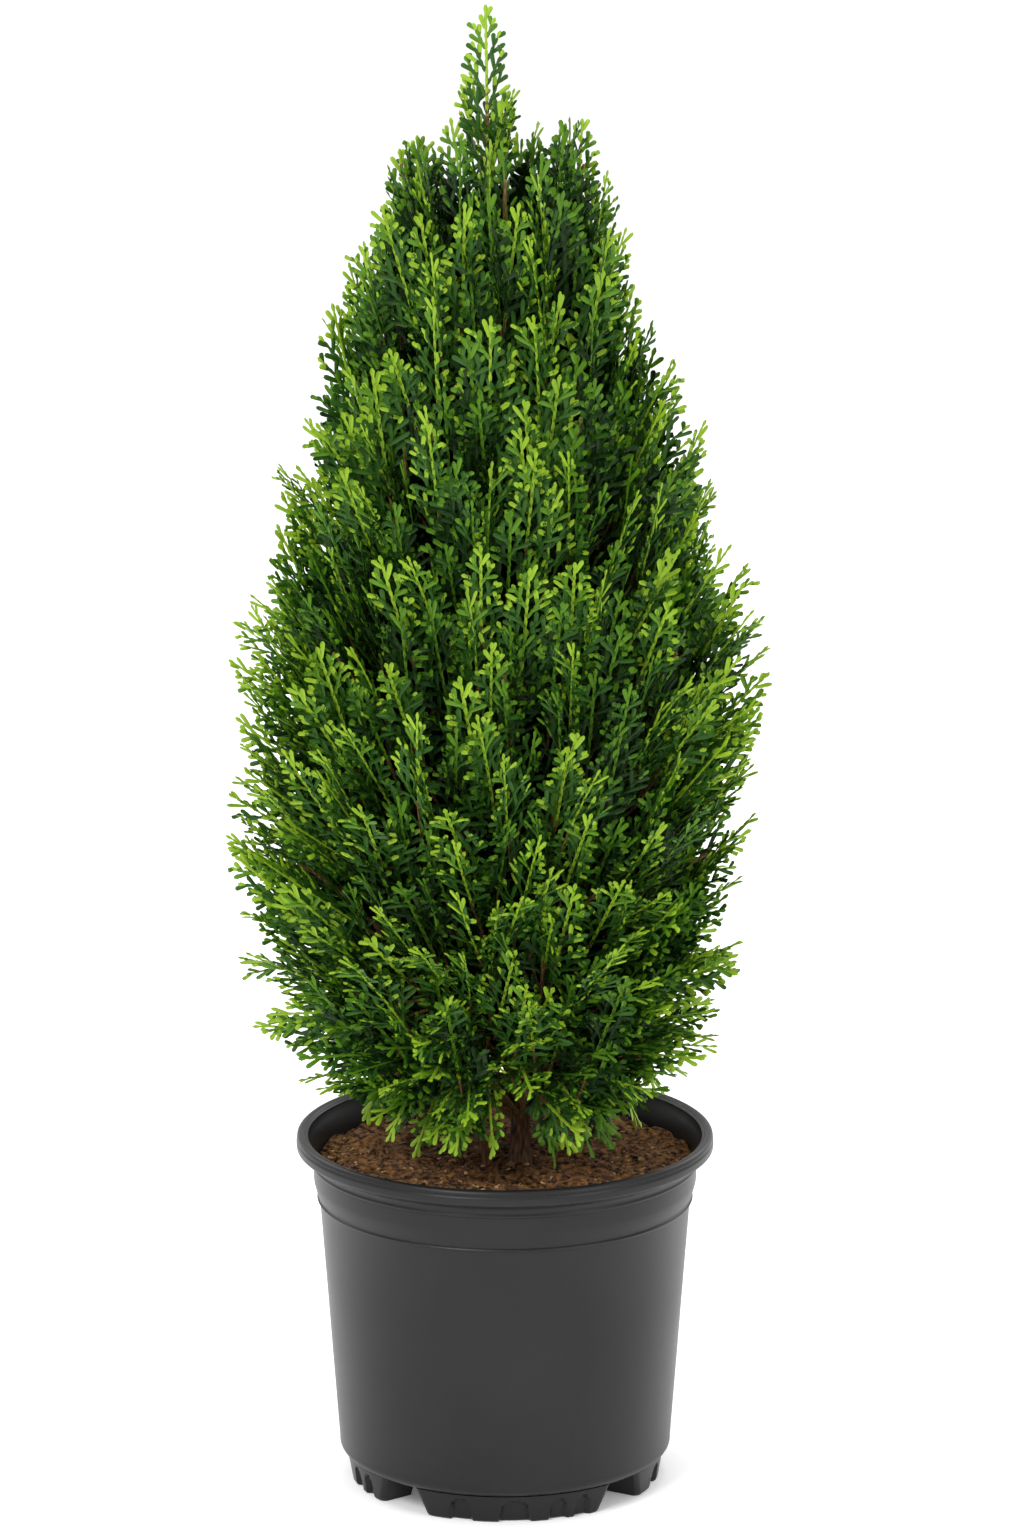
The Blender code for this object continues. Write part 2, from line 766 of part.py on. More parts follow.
def place_spray(growth, space, rng, tip_height, offset, pieces):
    """Try to set one spray and its twig, a little smaller each time it leaves the space."""
    for attempt in range(SPRAY_TRIES):
        size = (1.0 - 0.5 * attempt / SPRAY_TRIES) * rng.uniform(0.94, 1.06)
        spread = 1.0 - 0.6 * attempt / SPRAY_TRIES
        azimuth = growth.azimuth + offset * spread + rng.uniform(-0.05, 0.05)
        height = tip_height + rng.uniform(-0.010, 0.010)
        tip = crown_point(height, azimuth, 1.0)
        direction = growth_direction(height, azimuth)
        direction = (direction + 0.10 * Vector((0.0, 0.0, rng.uniform(-1.0, 1.0)))).normalized()
        length = SPRAY_LENGTH * size
        foot = tip - direction * length
        turn = rng.choice((-1.0, 1.0)) * rng.uniform(0.15, 1.0) * SPRAY_TURN
        barbs = 3
        outline = spray_outline(length, SPRAY_WIDTH * size, barbs)
        frame = spray_frame(foot, direction, turn)
        corners = np.array([tuple(frame @ Vector((x, y, 0.0))) for x, y in outline])
        middle = 0.5 * (corners + np.roll(corners, 1, axis=0))
        root = nearest_below(growth, foot)
        inner = foot + direction * TWIG_SINK
        twig = np.array([tuple(root.lerp(inner, step / 6.0)) for step in range(7)])
        if space.holds(growth.name, np.vstack((corners, middle, twig[1:]))):
            label = f"{growth.name}_{len(pieces.objects)}"
            twig_mesh(label + "_twig", root, inner, pieces)
            spray_mesh(label + "_spray", outline, frame, pieces)
            return True
    return False


def nearest_below(growth, foot):
    """The place on the stem from which a twig best reaches a spray's foot."""
    stem = growth.part(growth.split + 0.05, 0.96, 24)
    costs = [(foot - spot).length + 0.9 * max(spot.z - foot.z + 0.012, 0.0) for spot in stem]
    return stem[costs.index(min(costs))]


def make_bough(growth, clearing, parts):
    """One tapering limb, from the trunk or the soil to the foot of its mass."""
    points = growth.part(0.0, growth.split, 3)
    radii = [BOUGH_RADIUS + (BOUGH_TIP_RADIUS - BOUGH_RADIUS) * step / 3.0 for step in range(4)]
    if growth.from_soil:
        points.insert(1, points[0] + Vector((0.0, 0.0, 0.005)))
        radii.insert(0, 1.2 * BOUGH_RADIUS)
        bough = limb_mesh("side_stem", points, radii, parts)
    else:
        bough = limb_mesh("bough_" + growth.name, points, radii, parts)
        combine(bough, [("DIFFERENCE", clearing)])
    finish(bough, BOUGH_BROWN, 0.8)
    return bough


def make_mass(growth, space, rng, clearing, parts):
    """Fuse a stem, its core, its twigs and its sprays into one mass of foliage."""
    pieces = new_collection("pieces_" + growth.name)
    inside = growth.split + 0.4 * (1.0 - growth.split)
    points = growth.part(growth.split, inside, 2)
    if growth.split > 0.0:
        points[0] = points[0] + (points[1] - points[0]).normalized() * CLEARANCE
    radii = [BOUGH_TIP_RADIUS + (STEM_TIP_RADIUS - BOUGH_TIP_RADIUS) * step / 2.0 for step in range(3)]
    mass = limb_mesh("mass_" + growth.name, points, radii, parts, resolution=0)
    core_mesh(growth.name + "_core", growth, space, pieces)
    placed = 0
    for number, (tip_height, columns) in enumerate(growth.rows):
        for column in range(columns):
            offset = ((column + 0.5) / columns - 0.5) * growth.sector * 0.92
            placed += place_spray(growth, space, rng, tip_height, offset, pieces)
    steps = [("UNION", pieces)]
    if growth.split == 0.0:
        steps.append(("DIFFERENCE", clearing))
    combine(mass, steps)
    remove_collection(pieces)
    finish(mass, FOLIAGE_GREENS[growth.tier], 0.6)
    return placed


def make_leader(space, rng, parts):
    """The leading shoot: the green top that goes on from the trunk's tip."""
    pieces = new_collection("pieces_leader")
    base = TRUNK_TIP + Vector((0.0, 0.0, CLEARANCE))
    top = Vector((PLANT_TOP_X, -0.001, PLANT_TOP))
    points = [base.lerp(top, share) for share in (0.0, 0.4, 0.8)]
    radii = [TRUNK_TIP_RADIUS * share for share in (1.0, 0.85, 0.7)]
    leader = limb_mesh("mass_leader", points, radii, parts, resolution=0)
    frame = spray_frame(base.lerp(top, 0.42), (top - base).normalized(), 0.2)
    spray_mesh("leader_top", spray_outline(0.58 * (top - base).length, 0.032, 3), frame, pieces)
    for number in range(LEADER_SPRAYS):
        azimuth = rng.uniform(-0.3, 0.3) + number * math.tau * 0.4
        start = base.lerp(top, 0.06 + 0.30 * number / LEADER_SPRAYS)
        out = Vector((math.cos(azimuth), math.sin(azimuth), 0.0))
        direction = (out * 0.55 + Vector((0.0, 0.0, 0.84))).normalized()
        length = LEADER_SPRAY_LENGTH * (1.0 - 0.08 * number)
        frame = spray_frame(start, direction, rng.uniform(-0.8, 0.8))
        outline = spray_outline(length, 0.42 * length, 3)
        spray_mesh(f"leader_side_{number + 1}", outline, frame, pieces)
    combine(leader, [("UNION", pieces)])
    remove_collection(pieces)
    finish(leader, FOLIAGE_GREENS["leader"], 0.6)


def build():
    clear_scene()
    parts = new_collection("potted_arborvitae")
    cutters = new_collection("cutters")
    make_pot(parts, cutters)
    make_soil(parts)
    trunk = make_trunk("trunk", 0.0, parts)
    finish(trunk, BARK_BROWN, 0.9, smooth_angle=50.0)
    clearing = as_cutter(make_trunk("trunk_clearing", CLEARANCE, cutters))
    growths = [Growth(tier, index) for tier in TIERS for index in range(tier["masses"])]
    space = Space(growths)
    rng = random.Random(SEED)
    placed = 0
    for growth in growths:
        if growth.split > 0.0:
            make_bough(growth, clearing, parts)
        placed += make_mass(growth, space, rng, clearing, parts)
    make_leader(space, rng, parts)
    print("sprays placed:", placed)


build()
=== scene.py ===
"""Looks of a potted emerald green arborvitae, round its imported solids. Metres, +Z up."""

import math
import random

import bmesh
import bpy
import numpy as np
from mathutils import Matrix, Vector, noise


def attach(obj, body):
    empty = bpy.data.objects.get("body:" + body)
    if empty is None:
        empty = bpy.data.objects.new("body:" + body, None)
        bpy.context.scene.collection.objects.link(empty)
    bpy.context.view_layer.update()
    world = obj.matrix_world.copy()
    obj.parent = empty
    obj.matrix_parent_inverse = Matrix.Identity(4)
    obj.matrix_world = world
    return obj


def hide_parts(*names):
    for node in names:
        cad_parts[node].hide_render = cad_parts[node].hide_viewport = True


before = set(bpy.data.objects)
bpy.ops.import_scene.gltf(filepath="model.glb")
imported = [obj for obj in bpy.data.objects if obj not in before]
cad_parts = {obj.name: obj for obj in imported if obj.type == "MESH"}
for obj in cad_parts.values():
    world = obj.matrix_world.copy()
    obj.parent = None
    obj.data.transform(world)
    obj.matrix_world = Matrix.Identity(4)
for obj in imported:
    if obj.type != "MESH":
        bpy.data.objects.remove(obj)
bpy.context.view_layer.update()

# Camera, floor and studio light.
# The viewer stands five metres off and looks down a little at the rim, over a pale floor
# that is lit from all round by large soft lamps.
CAMERA_PLACE = (0.0047, -5.0, 1.756)
CAMERA_PITCH = math.radians(75.8)
CAMERA_LENS = 182.7
FILM_WIDTH = 36.0
SIGHT_RANGE = 60.0
LAMP_TARGET = Vector((0.0, 0.0, 0.5))
LAMPS = (
    ("key_lamp", (-1.8, -3.0, 3.2), 1.6, 105.0),
    ("fill_lamp", (2.8, -2.4, 2.2), 2.0, 34.0),
    ("top_lamp", (0.2, 0.4, 4.0), 2.2, 62.0),
    ("back_left_lamp", (-2.6, 2.2, 2.4), 1.8, 26.0),
    ("back_right_lamp", (2.4, 2.6, 2.0), 1.8, 24.0),
)
STUDIO_WHITE = (1.0, 1.0, 1.0, 1.0)
STUDIO_STRENGTH = 0.88
FLOOR_HALF = 14.0
FLOOR_WHITE = (0.97, 0.97, 0.97, 1.0)
FLOOR_GLOW = 0.12

camera_data = bpy.data.cameras.new("photo_camera")
camera_data.lens = CAMERA_LENS
camera_data.sensor_width = FILM_WIDTH
camera_data.clip_end = SIGHT_RANGE
camera = bpy.data.objects.new("photo_camera", camera_data)
camera.location = CAMERA_PLACE
camera.rotation_euler = (CAMERA_PITCH, 0.0, 0.0)
bpy.context.scene.collection.objects.link(camera)
bpy.context.scene.camera = camera

for lamp_name, lamp_place, lamp_size, lamp_power in LAMPS:
    lamp_data = bpy.data.lights.new(lamp_name, "AREA")
    lamp_data.shape = "DISK"
    lamp_data.size = lamp_size
    lamp_data.energy = lamp_power
    lamp = bpy.data.objects.new(lamp_name, lamp_data)
    lamp.location = lamp_place
    lamp_aim = LAMP_TARGET - Vector(lamp_place)
    lamp.rotation_euler = lamp_aim.to_track_quat("-Z", "Y").to_euler()
    bpy.context.scene.collection.objects.link(lamp)

world = bpy.data.worlds.new("studio")
world.use_nodes = True
studio_light = world.node_tree.nodes["Background"]
studio_light.inputs["Color"].default_value = STUDIO_WHITE
studio_light.inputs["Strength"].default_value = STUDIO_STRENGTH
bpy.context.scene.world = world
bpy.context.scene.view_settings.view_transform = "Standard"


def shader_material(name, **sockets):
    """A material whose named sockets are set on the shader itself."""
    material = bpy.data.materials.new(name)
    material.use_nodes = True
    shader = material.node_tree.nodes["Principled BSDF"]
    for socket, value in sockets.items():
        shader.inputs[socket.replace("_", " ")].default_value = value
    return material


def add_object(name, mesh, *materials):
    thing = bpy.data.objects.new(name, mesh)
    bpy.context.scene.collection.objects.link(thing)
    for material in materials:
        mesh.materials.append(material)
    return thing


floor_mesh = bpy.data.meshes.new("studio_floor")
floor_corners = [(-FLOOR_HALF, -FLOOR_HALF, 0.0), (FLOOR_HALF, -FLOOR_HALF, 0.0)]
floor_corners += [(FLOOR_HALF, FLOOR_HALF, 0.0), (-FLOOR_HALF, FLOOR_HALF, 0.0)]
floor_mesh.from_pydata(floor_corners, [], [(0, 1, 2, 3)])
floor_white = shader_material(
    "floor_white",
    Base_Color=FLOOR_WHITE,
    Roughness=0.9,
    Specular_IOR_Level=0.1,
    Emission_Color=STUDIO_WHITE,
    Emission_Strength=FLOOR_GLOW,
)
add_object("studio_floor", floor_mesh, floor_white)


# Nursery pot.
# Blow-moulded polypropylene with a satin charcoal skin: a rolled rim, a deep band under
# it, a plain tapering body and four hollow feet with shallow pressed arches.
POT_TURNS = 160
POT_SHARP_EDGE = math.radians(38.0)
FOOT_COUNT = 4
FOOT_HEIGHT = 0.018
FOOT_LEVELS = (0.0, 0.0012, 0.0030, 0.0065, 0.0095, 0.0115, 0.0125, 0.0135, 0.0145, 0.0160, 0.0188)
FOOT_STEPS = 120
FOOT_TURN = math.radians(3.6)
FOOT_HALF_TOP = math.radians(38.2)
FOOT_HALF_SOLE = math.radians(34.0)
FOOT_RADIUS = 0.1036
FOOT_SPREAD = 0.0030
FOOT_DEPTH = 0.024
FOOT_BACK_SPREAD = 0.0008
SOLE_CHAMFER = 0.0012
CORNER_RUN = 0.004
CORNER_DEPTH = 0.0025
# Each arch of a foot: degrees from the foot's middle, and half its width.
ARCHES = ((-20.0, 0.0062), (0.0, 0.0088), (16.5, 0.0052), (26.0, 0.0044))
ARCH_DEPTH = 0.0030
ARCH_FLARE = (1.25, 0.40)
ARCH_TOP = FOOT_HEIGHT - 0.0025
ARCH_CROWN = 0.0030
ARCH_EDGE = 0.0008
POT_DARK = (0.0068, 0.0068, 0.0072, 1.0)
POT_PALE = (0.0118, 0.0114, 0.0118, 1.0)
POT_GLOSS = (0.32, 0.44)


def unit_share(value):
    """The value, held between 0 and 1."""
    return min(max(value, 0.0), 1.0)


def arc(centre, radius, start, end, steps):
    """Points of an arc in the plane of radius and height, by angles in degrees."""
    points = []
    for step in range(steps + 1):
        angle = math.radians(start + (end - start) * step / steps)
        points.append((centre[0] + radius * math.cos(angle), centre[1] + radius * math.sin(angle)))
    return points


def pot_outline():
    """The pot's section from the middle of its floor, up inside and down outside."""
    inside = [(0.0, 0.0202), (0.100, 0.0202)] + arc((0.1030, 0.0262), 0.0060, -90, -5, 5)
    inside += [(0.1148, 0.100), (0.1216, 0.190), (0.1222, 0.1945), (0.1255, 0.2080), (0.1262, 0.2230)]
    rim = [(0.1300, 0.2335), (0.1318, 0.2372), (0.1319, 0.2386), (0.1326, 0.2393)]
    rim += arc((0.1362, 0.2378), 0.0032, 150, 25, 8)
    rim += [(0.1394, 0.2377), (0.1390, 0.2370), (0.1391, 0.2366)]
    rim += arc((0.1382, 0.2350), 0.0015, 40, -8, 3)
    rim += [(0.1397, 0.2325)]
    rim += arc((0.1381, 0.2316), 0.0015, -10, -120, 5)
    neck = [(0.1352, 0.2291), (0.1318, 0.2268), (0.1297, 0.2243)]
    band = [(0.1290, 0.2228)] + arc((0.1284, 0.2206), 0.0012, 50, -60, 4)
    band += [(0.1283, 0.2188), (0.1282, 0.2095), (0.1279, 0.2072), (0.1266, 0.2022), (0.1252, 0.1976)]
    band += [(0.1251, 0.1971), (0.1257, 0.1966), (0.1260, 0.1960), (0.1257, 0.1953), (0.1246, 0.1947)]
    band += [(0.1244, 0.1941), (0.1243, 0.1934)]
    body = [(0.1240, 0.1925), (0.1198, 0.138), (0.1157, 0.083), (0.1115, 0.0280)]
    foot = arc((0.1043, 0.0262), 0.0072, 8, -76, 8) + [(0.100, FOOT_HEIGHT), (0.0, FOOT_HEIGHT)]
    return inside + rim + neck + band + body + foot


def join_rows(shape, low, high):
    """Faces between two rows of vertices that lie side by side."""
    for step in range(len(low) - 1):
        shape.faces.new((low[step], low[step + 1], high[step + 1], high[step]))


def lathe(shape, outline, turns):
    """Turn an outline round the Z axis; its two ends lie on the axis."""
    first = shape.verts.new((0.0, 0.0, outline[0][1]))
    last = shape.verts.new((0.0, 0.0, outline[-1][1]))
    columns = []
    for turn in range(turns):
        angle = math.tau * turn / turns
        across, along = math.cos(angle), math.sin(angle)
        columns.append([shape.verts.new((r * across, r * along, z)) for r, z in outline[1:-1]])
    for turn in range(turns):
        here, there = columns[turn], columns[(turn + 1) % turns]
        shape.faces.new((first, here[0], there[0]))
        shape.faces.new((last, there[-1], here[-1]))
        join_rows(shape, here, there)


def arch_depth(angle, radius, height):
    """How far the wall of a foot is pressed in at an angle from the foot's middle."""
    depth = 0.0
    for degrees, half in ARCHES:
        across = (angle - math.radians(degrees)) * radius
        half = half * (ARCH_FLARE[0] - ARCH_FLARE[1] * height / FOOT_HEIGHT)
        crown = ARCH_TOP - ARCH_CROWN * (across / half) ** 2
        side = unit_share((half - abs(across)) / ARCH_EDGE)
        top = unit_share((crown - height) / ARCH_EDGE)
        depth = max(depth, ARCH_DEPTH * side * top)
    return depth


def add_foot(shape, middle):
    """One hollow foot: its outer wall with arches, its two ends, inner wall and sole."""
    outer = []
    inner = []
    for height in FOOT_LEVELS:
        share = height / FOOT_HEIGHT
        half = FOOT_HALF_SOLE + (FOOT_HALF_TOP - FOOT_HALF_SOLE) * share
        out = FOOT_RADIUS + FOOT_SPREAD * share - (SOLE_CHAMFER if height == 0.0 else 0.0)
        back = FOOT_RADIUS - FOOT_DEPTH - FOOT_BACK_SPREAD * share
        front_row = []
        back_row = []
        for step in range(FOOT_STEPS + 1):
            angle = half * (2.0 * step / FOOT_STEPS - 1.0)
            edge = min((half - abs(angle)) * out / CORNER_RUN, 1.0)
            front = out - arch_depth(angle, out, height) - CORNER_DEPTH * (1.0 - edge) ** 2
            across, along = math.sin(middle + angle), -math.cos(middle + angle)
            front_row.append(shape.verts.new((front * across, front * along, height)))
            back_row.append(shape.verts.new((back * across, back * along, height)))
        outer.append(front_row)
        inner.append(back_row)
    for low in range(len(FOOT_LEVELS) - 1):
        join_rows(shape, outer[low], outer[low + 1])
        join_rows(shape, inner[low][::-1], inner[low + 1][::-1])
    for end in (0, -1):
        join_rows(shape, [row[end] for row in outer], [row[end] for row in inner])
    join_rows(shape, inner[0], outer[0])


def smooth_mesh(name, shape):
    """The smooth mesh of a finished shape, with its faces turned outward."""
    bmesh.ops.recalc_face_normals(shape, faces=shape.faces)
    mesh = bpy.data.meshes.new(name)
    shape.to_mesh(mesh)
    shape.free()
    mesh.shade_smooth()
    return mesh


def fine_noise(material, scale, detail=2.0, roughness=0.5, stretch=None):
    """Noise in the piece's own space, drawn out along Z where stretch is given."""
    nodes = material.node_tree.nodes
    links = material.node_tree.links
    place = nodes.new("ShaderNodeTexCoord").outputs["Object"]
    if stretch is not None:
        lengthen = nodes.new("ShaderNodeMapping")
        lengthen.inputs["Scale"].default_value = (1.0, 1.0, stretch)
        links.new(place, lengthen.inputs["Vector"])
        place = lengthen.outputs["Vector"]
    texture = nodes.new("ShaderNodeTexNoise")
    texture.inputs["Scale"].default_value = scale
    texture.inputs["Detail"].default_value = detail
    texture.inputs["Roughness"].default_value = roughness
    links.new(place, texture.inputs["Vector"])
    return texture.outputs["Fac"]


def colour_along(material, texture, deep, pale):
    """Run the base colour from deep to pale by a texture; each is a stop and a colour."""
    shader = material.node_tree.nodes["Principled BSDF"]
    tone = material.node_tree.nodes.new("ShaderNodeValToRGB")
    for element, (stop, colour) in zip(tone.color_ramp.elements, (deep, pale)):
        element.position = stop
        element.color = colour
    material.node_tree.links.new(texture, tone.inputs["Fac"])
    material.node_tree.links.new(tone.outputs["Color"], shader.inputs["Base Color"])


def raise_along(material, texture, strength, distance):
    """Give the skin a fine relief by a texture."""
    shader = material.node_tree.nodes["Principled BSDF"]
    relief = material.node_tree.nodes.new("ShaderNodeBump")
    relief.inputs["Strength"].default_value = strength
    relief.inputs["Distance"].default_value = distance
    material.node_tree.links.new(texture, relief.inputs["Height"])
    material.node_tree.links.new(relief.outputs["Normal"], shader.inputs["Normal"])


pot_shape = bmesh.new()
lathe(pot_shape, pot_outline(), POT_TURNS)
for foot_number in range(FOOT_COUNT):
    add_foot(pot_shape, FOOT_TURN + foot_number * math.tau / FOOT_COUNT)
pot_mesh = smooth_mesh("pot_shell", pot_shape)
pot_mesh.set_sharp_from_angle(angle=POT_SHARP_EDGE)

pot_plastic = shader_material("pot_plastic", Roughness=0.42, Specular_IOR_Level=0.27)
pot_dust = fine_noise(pot_plastic, 14.0, detail=5.0)
pot_grain = fine_noise(pot_plastic, 900.0, detail=3.0, roughness=0.6)
colour_along(pot_plastic, pot_dust, (0.35, POT_DARK), (0.75, POT_PALE))
raise_along(pot_plastic, pot_grain, 0.25, 0.00025)
pot_gloss = pot_plastic.node_tree.nodes.new("ShaderNodeMapRange")
pot_gloss.inputs["To Min"].default_value = POT_GLOSS[0]
pot_gloss.inputs["To Max"].default_value = POT_GLOSS[1]
pot_shader = pot_plastic.node_tree.nodes["Principled BSDF"]
pot_plastic.node_tree.links.new(pot_dust, pot_gloss.inputs["Value"])
pot_plastic.node_tree.links.new(pot_gloss.outputs["Result"], pot_shader.inputs["Roughness"])

pot = add_object("pot_shell", pot_mesh, pot_plastic)
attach(pot, "root")
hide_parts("pot")


# Potting mix.
# Damp peat and composted bark, filled to a finger's width below the rim, pressed down at
# the edge and heaped a little round the stems.
SOIL_HEIGHT = 0.224
SURFACE_SINK = 0.0012
SOIL_RADIUS = 0.1255
SOIL_FOOT_RADIUS = 0.1035
SOIL_FOOT = 0.0215
SOIL_RINGS = 90
SOIL_TURNS = 260
# Each size of lump: how closely it comes, where its noise is taken, and how high it is.
LUMPS = ((38.0, 3.1, 0.0035), (170.0, 7.7, 0.0022), (420.0, 1.3, 0.0010))
HEAP_PLACE = (0.002, -0.020)
HEAP_RUN = 0.03
HEAP_HEIGHT = 0.0025
EDGE_START = 0.105
EDGE_RUN = 0.02
EDGE_DROP = 0.0015
PEAT_DARK = (0.012, 0.005, 0.002, 1.0)
PEAT_PALE = (0.270, 0.125, 0.042, 1.0)


def soil_level(x, y):
    """Height of the soil's surface at a place."""
    level = SOIL_HEIGHT - SURFACE_SINK
    for fineness, start, height in LUMPS:
        level += height * noise.noise(Vector((x * fineness, y * fineness, start)))
    off_heap = math.hypot(x - HEAP_PLACE[0], y - HEAP_PLACE[1]) / HEAP_RUN
    level += HEAP_HEIGHT * math.exp(-off_heap ** 2)
    return level - EDGE_DROP * unit_share((math.hypot(x, y) - EDGE_START) / EDGE_RUN)


def closed_ring(shape, radius, level):
    """A ring of vertices; its last is its first, and level gives the height at a place."""
    ring = []
    for turn in range(SOIL_TURNS):
        angle = math.tau * turn / SOIL_TURNS
        x, y = radius * math.cos(angle), radius * math.sin(angle)
        ring.append(shape.verts.new((x, y, level(x, y))))
    return ring + ring[:1]


soil_shape = bmesh.new()
soil_middle = soil_shape.verts.new((0.0, 0.0, soil_level(0.0, 0.0)))
soil_rows = []
for ring_number in range(1, SOIL_RINGS + 1):
    ring_radius = SOIL_RADIUS * ring_number / SOIL_RINGS
    soil_rows.append(closed_ring(soil_shape, ring_radius, soil_level))
soil_rows.append(closed_ring(soil_shape, SOIL_FOOT_RADIUS, lambda x, y: SOIL_FOOT))
for turn in range(SOIL_TURNS):
    soil_shape.faces.new((soil_middle, soil_rows[0][turn], soil_rows[0][turn + 1]))
for inner_row, outer_row in zip(soil_rows, soil_rows[1:]):
    join_rows(soil_shape, inner_row, outer_row)
soil_shape.faces.new(list(reversed(soil_rows[-1][:-1])))

peat = shader_material("peat", Roughness=0.95, Specular_IOR_Level=0.2)
peat_crumbs = fine_noise(peat, 240.0, detail=6.0)
colour_along(peat, peat_crumbs, (0.36, PEAT_DARK), (0.66, PEAT_PALE))
raise_along(peat, peat_crumbs, 0.9, 0.0012)

soil = add_object("soil_surface", smooth_mesh("soil_surface", soil_shape), peat)
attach(soil, "root")
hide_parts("soil")


# Bark chips.
# Shredded bark and crumbs of peat, from one to eight millimetres long and in three
# browns, which lie loose on the potting mix at all angles.
CHIP_SEED = 5
CHIP_COUNT = 1500
CHIP_REACH = 0.121
CHIP_LENGTHS = (0.0014, 0.0042)
LONG_CHIPS = 0.10
CHIP_WIDTHS = (0.35, 0.8)
CHIP_THICKNESSES = (0.15, 0.45)
CHIP_TILT = 0.7
CHIP_LIFT = 0.3
CHIP_ROUGHNESS = 0.22
CHIP_FLATNESS = 0.4
# Each tone: its name, its colour and its share of the chips.
CHIP_TONES = (
    ("chip_dark", (0.060, 0.026, 0.011, 1.0), 0.45),
    ("chip_brown", (0.160, 0.080, 0.036, 1.0), 0.37),
    ("chip_tan", (0.400, 0.240, 0.120, 1.0), 0.18),
)

chip_rng = random.Random(CHIP_SEED)
chip_shape = bmesh.new()
for chip in range(CHIP_COUNT):
    angle = chip_rng.uniform(0.0, math.tau)
    radius = CHIP_REACH * math.sqrt(chip_rng.random())
    x, y = radius * math.cos(angle), radius * math.sin(angle)
    long = chip_rng.uniform(*CHIP_LENGTHS) * (2.0 if chip_rng.random() < LONG_CHIPS else 1.0)
    wide = long * chip_rng.uniform(*CHIP_WIDTHS)
    thick = long * chip_rng.uniform(*CHIP_THICKNESSES)
    turn = Matrix.Rotation(chip_rng.uniform(0.0, math.tau), 4, "Z")
    tilt = Matrix.Rotation(chip_rng.uniform(-CHIP_TILT, CHIP_TILT), 4, "X")
    tilt = tilt @ Matrix.Rotation(chip_rng.uniform(-CHIP_TILT, CHIP_TILT), 4, "Y")
    place = Matrix.Translation((x, y, soil_level(x, y) + CHIP_LIFT * thick))
    matrix = place @ turn @ tilt @ Matrix.Diagonal((long, wide, thick, 1.0))
    made = bmesh.ops.create_icosphere(chip_shape, subdivisions=1, radius=0.5, matrix=matrix)
    slot = chip_rng.choices((0, 1, 2), [tone[2] for tone in CHIP_TONES])[0]
    for vert in made["verts"]:
        jolt = [chip_rng.uniform(-limit, limit) for limit in (1.0, 1.0, CHIP_FLATNESS)]
        vert.co += CHIP_ROUGHNESS * long * Vector(jolt)
        for face in vert.link_faces:
            face.material_index = slot
chip_mesh = bpy.data.meshes.new("bark_chips")
chip_shape.to_mesh(chip_mesh)
chip_shape.free()

chip_materials = []
for chip_name, chip_colour, _ in CHIP_TONES:
    chip_material = shader_material(chip_name, Base_Color=chip_colour, Roughness=0.85)
    raise_along(chip_material, fine_noise(chip_material, 700.0), 0.6, 0.0004)
    chip_materials.append(chip_material)

chips = add_object("bark_chips", chip_mesh, *chip_materials)
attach(chips, "root")


# Trunk, side stem and boughs.
# Wood with thin, fibrous, red-brown bark that splits lengthwise. The trunk flares at the
# soil and leans a little; the boughs leave it low down and rise steeply.
TRUNK_FOOT = Vector((0.010, -0.020, 0.2243))
TRUNK_TIP = Vector((-0.0110, -0.001, 0.900))
TRUNK_RADIUS = 0.0062
TRUNK_TIP_RADIUS = 0.0013
TRUNK_TAPER = 0.85
TRUNK_BEND = 0.005
BEND_BACKWARD = 0.4
FLARE_RADIUS = 0.0026
FLARE_HEIGHT = 0.012
TRUNK_STEPS = 260
TRUNK_SIDES = 28
TRUNK_FURROW = 0.00055
BURIED = 0.004
SIDE_STEM_FOOT = Vector((-0.011, -0.025, 0.2243))
SIDE_STEM_MASS = "low_6"
SIDE_STEM_RISE = math.radians(78.0)
SIDE_STEM_SIDES = 14
BOUGH_RADIUS = 0.0034
BOUGH_TIP_RADIUS = 0.0024
BOUGH_STEPS = 40
BOUGH_SIDES = 12
BOUGH_FURROW = 0.00025
PLANT_TOP = Vector((-0.0125, -0.001, 1.0))
# The crown's outline: height, reach to the left and reach to the right.
CROWN_ROWS = (
    (0.232, 0.080, 0.086),
    (0.262, 0.110, 0.108),
    (0.292, 0.128, 0.118),
    (0.325, 0.165, 0.148),
    (0.375, 0.183, 0.160),
    (0.410, 0.187, 0.170),
    (0.490, 0.185, 0.172),
    (0.590, 0.177, 0.178),
    (0.655, 0.160, 0.150),
    (0.735, 0.128, 0.127),
    (0.795, 0.116, 0.102),
    (0.860, 0.096, 0.074),
    (0.925, 0.074, 0.056),
    (0.960, 0.045, 0.030),
    (1.000, 0.020, 0.006),
)
SLOPE_LOW = math.radians(-35.0)
SLOPE_TOP = math.radians(86.0)
SLOPE_POWER = 0.45
SLOPE_FOOT = 0.25
LIMB_END_DROP = 0.030
LIMB_END_SHARE = 0.80
LIMB_START_PULL = 0.38
LIMB_END_PULL = 0.34
